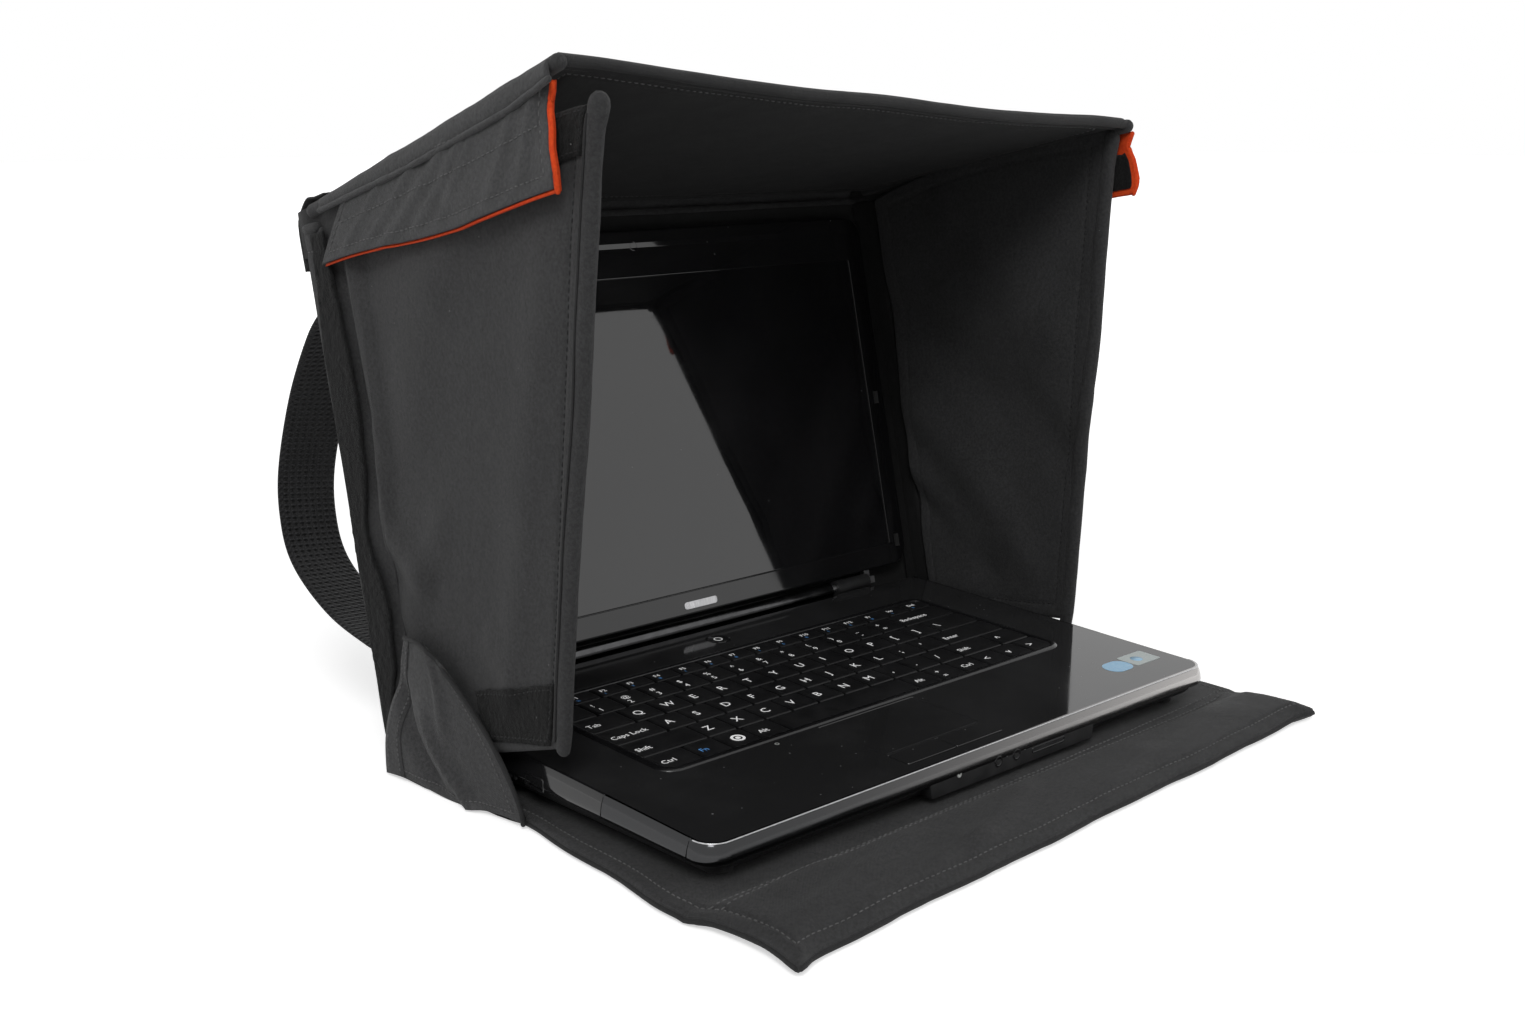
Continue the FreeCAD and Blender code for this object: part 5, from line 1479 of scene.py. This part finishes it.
def letters(text, x, along, above, size, parts):
    """Adds flat raised lettering on the deck plane to a list of parts."""
    curve = bpy.data.curves.new("lettering", "FONT")
    curve.body, curve.size, curve.resolution_u, curve.extrude = text, size, 2, 0.02
    holder = bpy.data.objects.new("lettering", curve)
    bpy.context.scene.collection.objects.link(holder)
    mesh = bpy.data.meshes.new_from_object(holder)
    verts = np.array([v.co for v in mesh.vertices])
    faces = [list(p.vertices) for p in mesh.polygons]
    bpy.data.objects.remove(holder)
    bpy.data.meshes.remove(mesh)
    if len(verts):
        parts.append((DECK.at(verts[:, 0] + x, verts[:, 1] + along, above + verts[:, 2]), faces))


def rings_mark(x, along, above, parts):
    """A plain ring and dot, standing for the maker's sign on one key."""
    low, high = above - 0.02, above + 0.03
    outline = circle(x, along)
    parts += [hoop(tiers(DECK.at, outline, [(3.8, low), (3.8, high), (2.4, high), (2.4, low)])),
              loft(tiers(DECK.at, outline, [(1.4, low), (1.4, high)]))]


ONE = [1]
KEY_ROWS = {   # legends, and widths in key pitches; None stands for the space bar and "" for the plain mark
    "keys_function_row": (["Esc"] + [f"F{n}" for n in range(1, 13)] + ["Pr", "Ins", "Del"],
                          [KEY_ROW_UNITS / 16] * 16),
    "keys_number_row": (list("`1234567890-=") + ["Backspace"], ONE * 13 + [2.25]),
    "keys_upper_row": (["Tab", *"QWERTYUIOP[]\\"], [1.5] + ONE * 12 + [1.75]),
    "keys_home_row": (["Caps Lock", *"ASDFGHJKL;'", "Enter"], [1.75] + ONE * 11 + [2.5]),
    "keys_lower_row": (["Shift", *"ZXCVBNM,./", "Shift", "^"], [2.25] + ONE * 10 + [1.75, 1.25]),
    "keys_bottom_row": (["Ctrl", "Fn", "", "Alt", None, "Alt", "=", "Ctrl", "<", "v", ">"],
                        [1.25, 1, 1, 1, 5] + ONE * 6),
}
SHIFTED = dict(zip("1234567890-=", "!@#$%^&*()_+"))


def key_legend(label, small, number, x, along, face, white, blue):
    """Puts one key's lettering into the white and blue parts, from the key's lower left corner."""
    if small:
        letters(label, x + 2.8, along + 5.2, face, 4.0, white)
        letters("|||"[: 1 + number % 3], x + 3.2, along + 2.0, face, 2.3, blue)
    elif len(label) > 1:
        letters(label, x + 2.8, along + 6.2, face, 5.2, blue if label == "Fn" else white)
    elif label in SHIFTED:
        letters(SHIFTED[label], x + 3.4, along + 9.4, face, 5.2, white)
        letters(label, x + 3.4, along + 2.8, face, 5.4, white)
    else:
        letters(label, x + 3.8, along + 6.2, face, 7.4, white)


def keyboard():
    low, high = box("keys_number_row")
    left, pitch = low[0] - KEY_GAP / 2, (high[0] - low[0] + KEY_GAP) / KEY_ROW_UNITS
    for node, (labels, widths) in KEY_ROWS.items():
        row_low, row_high = box(node)
        a0, (a1, top) = DECK.locate(row_low)[0], DECK.locate(row_high)
        caps, white, blue = [], [], []
        x = left
        face = top - 0.02
        for label, width in zip(labels, widths):
            x0, x1 = x + KEY_GAP / 2 - KEY_OVERHANG, x + width * pitch - KEY_GAP / 2 + KEY_OVERHANG
            x += width * pitch
            if label is None:
                continue
            caps.append(cap(x0, x1, a0 - 0.2, a1 + 0.2, top))
            if label == "":
                rings_mark((x0 + x1) / 2, (a0 + a1) / 2, face, white)
            else:
                key_legend(label, node == "keys_function_row", len(caps), x0, a0, face, white, blue)
        hard(f"caps_{node[5:]}", merge(caps), KEYCAP, "key_black", node, 40, PLAN, stands_for=[node])
        for tint, parts, finish in (("white", white, INK_PAINTED_GLOW), ("blue", blue, BLUE_INK_PAINTED_GLOW)):
            if parts:
                hard(f"legends_{node[5:]}_{tint}", merge(parts), finish, "key_black", node, smooth=False)
    x0, x1, a0, a1 = opening_round("space_bar", 0.2)
    bar = cap(x0, x1, a0, a1, DECK.locate(box("space_bar")[1])[1], dish=-0.15)
    hard("cap_space_bar", bar, KEYCAP, "key_black", "space_bar", 40, stands_for=["space_bar"])


def pad_and_buttons():
    """Touch surface, its two keys, and the round power button with its ring and lamp ring."""
    for name, node, body, grow, top, bottom, radius in (
            ("touch_surface", "touchpad", "laptop_base", 0.1, -0.1, -1.8, 1.3),
            ("pad_key_cap_left", "pad_key_left", "pad_key_left", 0.0, 0.45, -1.9, 1.2),
            ("pad_key_cap_right", "pad_key_right", "pad_key_right", 0.0, 0.45, -1.9, 1.2)):
        limits = opening_round(node, 0)
        section = [(0, bottom), (0, top - 0.35), (-0.15, top - 0.1), (-0.5, top)]
        tile = loft(tiers(DECK.at, lambda size: rounded(*limits, radius, size + grow, 4), section))
        # the pad and its keys share the deck's paler gloss black: painted light, with real dust
        hard(name, tile, DECK_GLOSS_PAINTED_LIGHT, body=body, angle=30, stands_for=[node])
    low, high = box("power_button")
    outline = circle(0, sum(DECK.locate(p)[0] for p in (low, high)) / 2, 40)
    section = [(6.7, -1.9), (6.7, 0.0), (6.45, 0.28), (5.9, 0.3), (5.2, 0.12), (3.0, 0.02), (1.0, 0.0)]
    hard("power_cap", loft(tiers(DECK.at, outline, section)), GLOSS, "gloss_black", "power_button", 40,
         stands_for=["power_button"])
    lamp_ring = tiers(DECK.at, circle(-82.6, 68.6, 40), [(1.2, 0.0), (1.2, 0.09), (0.8, 0.09), (0.8, 0.0)])
    hard("deck_lamp_ring", hoop(lamp_ring), LAMP, "gloss_black")
    mark = tiers(DECK.at, outline, [(2.6, 0.02), (2.6, 0.09), (2.1, 0.09), (2.1, 0.02)])
    hard("power_mark", hoop(mark), INK_PAINTED_GLOW, "gloss_black", "power_button")


def front_strip():
    """The plain strip under the front rim with the lamp, two sockets and the card slot."""
    jack_low, jack_high = box("audio_jacks")
    z0, z1 = FLOOR + 0.6, FLOOR + 8.6
    face = FRONT_Y + 0.25
    middle_z = (jack_low[2] + jack_high[2]) / 2

    def leaning(x, z, y):
        """The strip's two ends slope inwards to its foot."""
        return points(x + np.where(x > 0, -1.6, 1.6) * np.clip((z1 - z) / 8, 0, 1), y, z)

    def in_front(x, z, out):
        return points(x, face - out, z)

    def front_piece(name, finish, outline, section):
        hard(name, flipped(loft(tiers(in_front, outline, section))), finish)
    strip = tiers(leaning,
                  lambda grow: rounded(jack_low[0] - 47.2, jack_high[0] + 60.4, z0, z1 + 3, 1.2, grow, 4),
                  [(0, FRONT_Y + 8), (0, FRONT_Y + 1.2), (-0.25, FRONT_Y + 0.5), (-0.8, face)])
    hard("port_strip", flipped(loft(strip)), CASE, angle=40, plan=UPRIGHT)
    for index, x in enumerate((jack_low[0] + 3.2, jack_high[0] - 3.2)):
        front_piece(f"socket_ring_{index}", SATIN, circle(x, middle_z),
                    [(3.0, -0.4), (3.0, 0.12), (2.7, 0.3), (2.1, 0.3), (1.85, 0.1), (1.8, -0.3)])
        front_piece(f"socket_mouth_{index}", RUBBER, circle(x, middle_z),
                    [(1.75, -0.35), (1.75, -0.1), (1.2, 0.02)])
        front_piece(f"socket_mark_{index}", LAMP, circle(x + 6.4, middle_z + 1.4),
                    [(0.55, -0.2), (0.55, 0.05), (0.4, 0.08)])
    front_piece("lamp_ring", LAMP, circle(jack_low[0] - 26, middle_z + 0.8),
                [(1.5, -0.3), (1.5, 0.12), (1.2, 0.22), (0.9, 0.2), (0.7, 0.05)])
    slot_x = (jack_high[0] + 9, jack_high[0] + 35)
    front_piece("card_slot", SATIN,
                lambda grow: rounded(*slot_x, middle_z - 2.6, middle_z + 0.4, 1.1, grow, 4),
                [(0, -0.3), (0, 0.14), (-0.35, 0.22), (-0.55, 0.05), (-0.6, -0.1)])


def side_ports():
    """A plain data socket in the left side, and vents in both."""
    y0, y1, z0, z1 = 1.0, 14.5, 18.4, 23.6

    def on_left(y, z, out):
        return points(-HALF_WIDTH + 1.2 - out, y, z)
    frame_rings = tiers(on_left, lambda grow: rounded(y0, y1, z0, z1, 0.5, grow, 3),
                        [(0.9, -1.5), (0.9, 1.0), (0.5, 1.35), (0.0, 1.3), (-0.1, 0.2)])
    hard("data_socket", flipped(loft(frame_rings)), SATIN, "steel", smooth=False)
    tongue = tiers(on_left, lambda grow: rounded(y0, y1, z0 + 0.6, z1 - 1.6, 0.3, grow, 2),
                   [(-0.9, 0.1), (-0.9, 0.9), (-1.0, 1.0)])
    hard("data_socket_tongue", flipped(loft(tongue)), CASE, smooth=False)
    parts = []
    for y in np.linspace(24, 76, 14):
        for sign in (-1, 1):
            rib = loft(tiers(lambda y, z, out: points(sign * (HALF_WIDTH - 1.5 + out), y, z),
                             lambda grow: rounded(y - 1.1, y + 1.1, 17.5, 25.5, 0.9, grow, 3),
                             [(0, -1.0), (0, 0.9), (-0.3, 1.1)]))
            parts.append(flipped(rib) if sign < 0 else rib)
    hard("side_vent_ribs", merge(parts), CASE)


def stickers():
    """Two plain stickers on the palm rest."""
    stickers = (("palm_sticker_blue", 142, 31, 9.5, 7.0, STICKER_BLUE, 6.8),
                ("palm_sticker_grey", 163, 32, 11, 7.5, STICKER_GREY, 1.6))
    for name, x, along, half_x, half_y, finish, radius in stickers:
        outline = about(x, along, half_x, half_y, radius, 8)
        hard(name, loft(tiers(DECK.at, outline, [(0, 0.03), (0, 0.12), (-0.12, 0.16)])), finish, angle=30)
    hard("palm_sticker_spot", loft(tiers(DECK.at, circle(161, 32, 30), [(3.6, 0.15), (3.6, 0.2)])),
         STICKER_BLUE)


def battery():
    low, high = box("battery_pack")
    foot = low[2]
    shell = tiers(points, lambda grow: rounded(low[0], high[0], low[1], high[1], 3, grow, 4),
                  [(-2.5, foot - 0.35), (-0.5, foot - 0.3), (0, foot + 0.2), (0, foot + 6), (-0.6, high[2])])
    hard("battery_shell", loft(shell), CASE, angle=40, stands_for=["battery_pack"])


BADGE = (9.5, 11.6)      # a plain bar where a maker would put its name: x and height above the hinge
SCREEN_SIZE = (-172, 172, 20, 203)
LID_THICK = 1.5          # depth of the bezel sheet
LID_FOOT = 6.0
BEZEL_SPLIT = 19.2       # a fine gap runs across the bezel at this height


def lid():
    """Lid cover, bezel in two parts, screen glass and the small things on them."""
    half, head = box("lid_cover")[1][0], LID.locate(box("lid_bezel")[1])[1]

    def lid_outline(grow):
        return rounded(-half, half, LID_FOOT, head, 13, grow, 8)

    def lid_piece(name, made, finish, angle=None, slot_name="gloss_black", **how):
        return hard(name, made, finish, slot_name, "laptop_lid", angle, **how)
    section = [(-4, 1.55), (-0.5, 1.55), (-0.05, 1.9), (0, 3.0), (-0.5, 5.2), (-1.8, 6.9), (-4.5, 7.8),
               (-10, 8.05), (-26, 8.25), (-60, 8.3)]
    shell = flipped(loft(tiers(on_lid, lid_outline, section)))
    lid_piece("lid_shell", shell, GLOSS, 40, plan=UPRIGHT, stands_for=["lid_cover"])

    def bevelled(*loops_and_depth):
        """An open wall from the bezel's face to its rear, with a bevel of the given depth."""
        *loops, depth = loops_and_depth
        return loft([on_lid(*loop.T, along) for loop, along in zip(loops, (0, depth, LID_THICK, LID_THICK))],
                    False)

    def bezel_part(name, low, high, hole, **how):
        def clipped(grow):
            loop = lid_outline(grow)
            return points(loop[:, 0], np.clip(loop[:, 1], low, high), 0)[:, :2]
        outer, wide_outer = clipped(-1.2), clipped(-0.4)
        loops = [outer] + ([rounded(*SCREEN_SIZE, 1.2, 0.15, 4)] if hole else [])
        parts = [plate(lambda x, up: on_lid(x, up, 0), loops),
                 bevelled(outer, wide_outer, wide_outer, outer, 0.45)]
        if hole:
            wide, tight = loops[1], rounded(*SCREEN_SIZE, 1.0, -0.1, 4)
            parts.append(flipped(bevelled(wide, tight, tight, wide, 0.4)))
        parts.append(flipped(plate(lambda x, up: on_lid(x, up, LID_THICK), loops)))
        lid_piece(name, merge(parts), BEZEL, 30, plan=UPRIGHT, welded=True, **how)
    bezel_part("bezel_frame", BEZEL_SPLIT + 0.35, head, True, stands_for=["lid_bezel"])
    bezel_part("bezel_foot", LID_FOOT, BEZEL_SPLIT, False)

    def screen_outline(grow):
        return rounded(*SCREEN_SIZE, 1.0, grow, 4)
    glass = flipped(loft(tiers(on_lid, screen_outline, [(-0.1, 1.45), (-0.1, 0.6), (-0.3, 0.5)])))
    lid_piece("screen_glass", glass, SCREEN, 30, "screen", plan=UPRIGHT, stands_for=["display_panel"])
    edge_line = tiers(on_lid, screen_outline, [(0.1, 0.2), (0.2, -0.06), (0.75, -0.06), (0.85, 0.2)])
    lid_piece("screen_edge_line", hoop(edge_line), EDGE)
    for name, x, up, half_x, half_up, finish, out in (("bezel_bevel", 0, 221.4, half - 9, 1.5, BEVEL, 0.08),
                                                      ("lid_badge", *BADGE, 12.5, 2.1, STEEL, 0.3)):
        outline = about(x, up, half_x, half_up, min(half_up - 0.3, 1.6), 4)
        bar = tiers(on_lid, outline, [(0, 0.2), (0, -out), (-0.25, -out - 0.05)])
        lid_piece(name, flipped(loft(bar)), finish, 30)
    dot = tiers(on_lid, circle(61, 213.5, 20), [(0.9, 0.1), (0.9, -0.08), (0.675, -0.12)])
    lid_piece("microphone_dot", loft(dot), BEZEL)
    size = 2.9
    camera_ring = [(size, 0.1), (size, -0.08), (size * 0.85, -0.14), (size * 0.72, -0.1), (size * 0.7, 0.1)]
    camera_up = LID.locate(sum(box("webcam")) / 2)[1]
    lid_piece("camera_ring", hoop(tiers(on_lid, circle(0, camera_up, 20), camera_ring)), BEZEL)
    hinge_bar()


def hinge_bar():
    """Metal cover over the hinge barrel between the knuckles."""
    low, high = box("hinge_barrel")
    _, y, z = (low + high) / 2
    full = (high[2] - low[2]) / 2
    section = [(full * 0.6, low[0] + 0.2), (full * 0.93, low[0] + 0.2), (full + 0.12, low[0] + 0.8),
               (full + 0.12, high[0] - 0.8), (full * 0.93, high[0] - 0.2), (full * 0.6, high[0] - 0.2)]
    bar = loft(tiers(lambda y, z, x: points(x, y, z), circle(y, z), section))
    hard("hinge_bar", bar, BAR, "polished_trim", "laptop_lid", 40, stands_for=["hinge_barrel"])


# ---------------------------------------------------------------- stage

SOFT_LIGHT = 0.36    # what the pale surroundings give to matt surfaces; mirrors see them at full strength
FLOOR_GLOW = (0.56, 1.0)   # what mirrors see of the floor, beside the object and far from it
GLOW_DISTANCES = (0.45, 2.2)


def stage():
    """Pale floor, pale surroundings, a key light and a fill light."""
    scene = bpy.context.scene
    size = 14.0
    mesh = bpy.data.meshes.new("floor")
    mesh.from_pydata([(-size, -size, 0), (size, -size, 0), (size, size, 0), (-size, size, 0)], [],
                     [(0, 1, 2, 3)])
    floor = bpy.data.objects.new("floor", mesh)
    scene.collection.objects.link(floor)
    paint = Finish("floor_paint", rough=0.9, specular=0.1)
    pale = paint.mix(paint.spread(paint.noise(3, 3), 0.3, 0.7), (0.93, 0.93, 0.93), (0.96, 0.96, 0.96))
    matt_ray = paint.node("LightPath").outputs["Is Diffuse Ray"]
    paint.set("Base Color", paint.mix(matt_ray, pale, (0.5, 0.5, 0.5)))
    paint.set("Emission Color", (1, 1, 1))
    away = paint.node("VectorMath", {0: paint.spot.outputs["Object"]}, operation="LENGTH").outputs["Value"]
    glow = paint.spread(away, *GLOW_DISTANCES, *FLOOR_GLOW)
    paint.set("Emission Strength", paint.math("MULTIPLY", glow, paint.math("SUBTRACT", 1.0, matt_ray)))
    paint.bump(paint.noise(300, 2), 0.1, 0.1)
    floor.data.materials.append(paint.material)
    world = bpy.data.worlds.new("studio")
    world.use_nodes = True
    nodes, links = world.node_tree.nodes, world.node_tree.links
    back = nodes["Background"]
    back.inputs[0].default_value = (1, 1, 1, 1)
    rays = nodes.new("ShaderNodeLightPath")
    level = nodes.new("ShaderNodeMapRange")
    links.new(rays.outputs["Is Diffuse Ray"], level.inputs[0])
    level.inputs[3].default_value, level.inputs[4].default_value = 1.0, SOFT_LIGHT
    links.new(level.outputs[0], back.inputs[1])
    scene.world = world
    scene.view_settings.view_transform = "Standard"
    lamp("key", (-1.5, -1.5, 2.0), (0, 0, 0.15), (0.9, 0.9), 33, True)
    lamp("fill", (1.4, -1.9, 1.1), (0, 0, 0.1), (1.4, 1.0), 6, False)


def lamp(name, place, target, size, power, mirrored):
    """An area light; one that isn't mirrored leaves no bright patch in the screen."""
    light = bpy.data.lights.new(name, "AREA")
    light.shape = "RECTANGLE"
    light.size, light.size_y = size
    light.energy = power
    holder = bpy.data.objects.new(name, light)
    holder.location = place
    holder.rotation_mode = "QUATERNION"
    holder.rotation_quaternion = (Vector(target) - Vector(place)).to_track_quat("-Z", "Y")
    holder.visible_glossy = mirrored
    bpy.context.scene.collection.objects.link(holder)


def camera():
    """From the front left and a little above, as at the shoot."""
    scene = bpy.context.scene
    azimuth, elevation, roll = math.radians(-42.895), math.radians(12.552), math.radians(-0.22)
    flat = math.cos(elevation)
    ahead = -Vector((math.sin(azimuth) * flat, -math.cos(azimuth) * flat, math.sin(elevation)))
    right = ahead.cross(Vector((0, 0, 1))).normalized()
    up = right.cross(ahead)
    turned_right = math.cos(roll) * right + math.sin(roll) * up
    turned_up = -math.sin(roll) * right + math.cos(roll) * up
    data = bpy.data.cameras.new("camera")
    data.lens, data.sensor_width = 41.26, 36
    data.clip_start, data.clip_end = 0.01, 60
    holder = bpy.data.objects.new("camera", data)
    axes = Matrix((turned_right, turned_up, -ahead)).transposed()
    holder.matrix_world = Matrix.Translation((-0.6334, -0.6316, 0.3244)) @ axes.to_4x4()
    scene.collection.objects.link(holder)
    scene.camera = holder


for build in (dress_nodes, base_and_apron, back_cover, side_panels, roof, carry_strap, case_shell, deck,
              keyboard, pad_and_buttons, front_strip, side_ports, stickers, battery, lid, stage, camera):
    build()
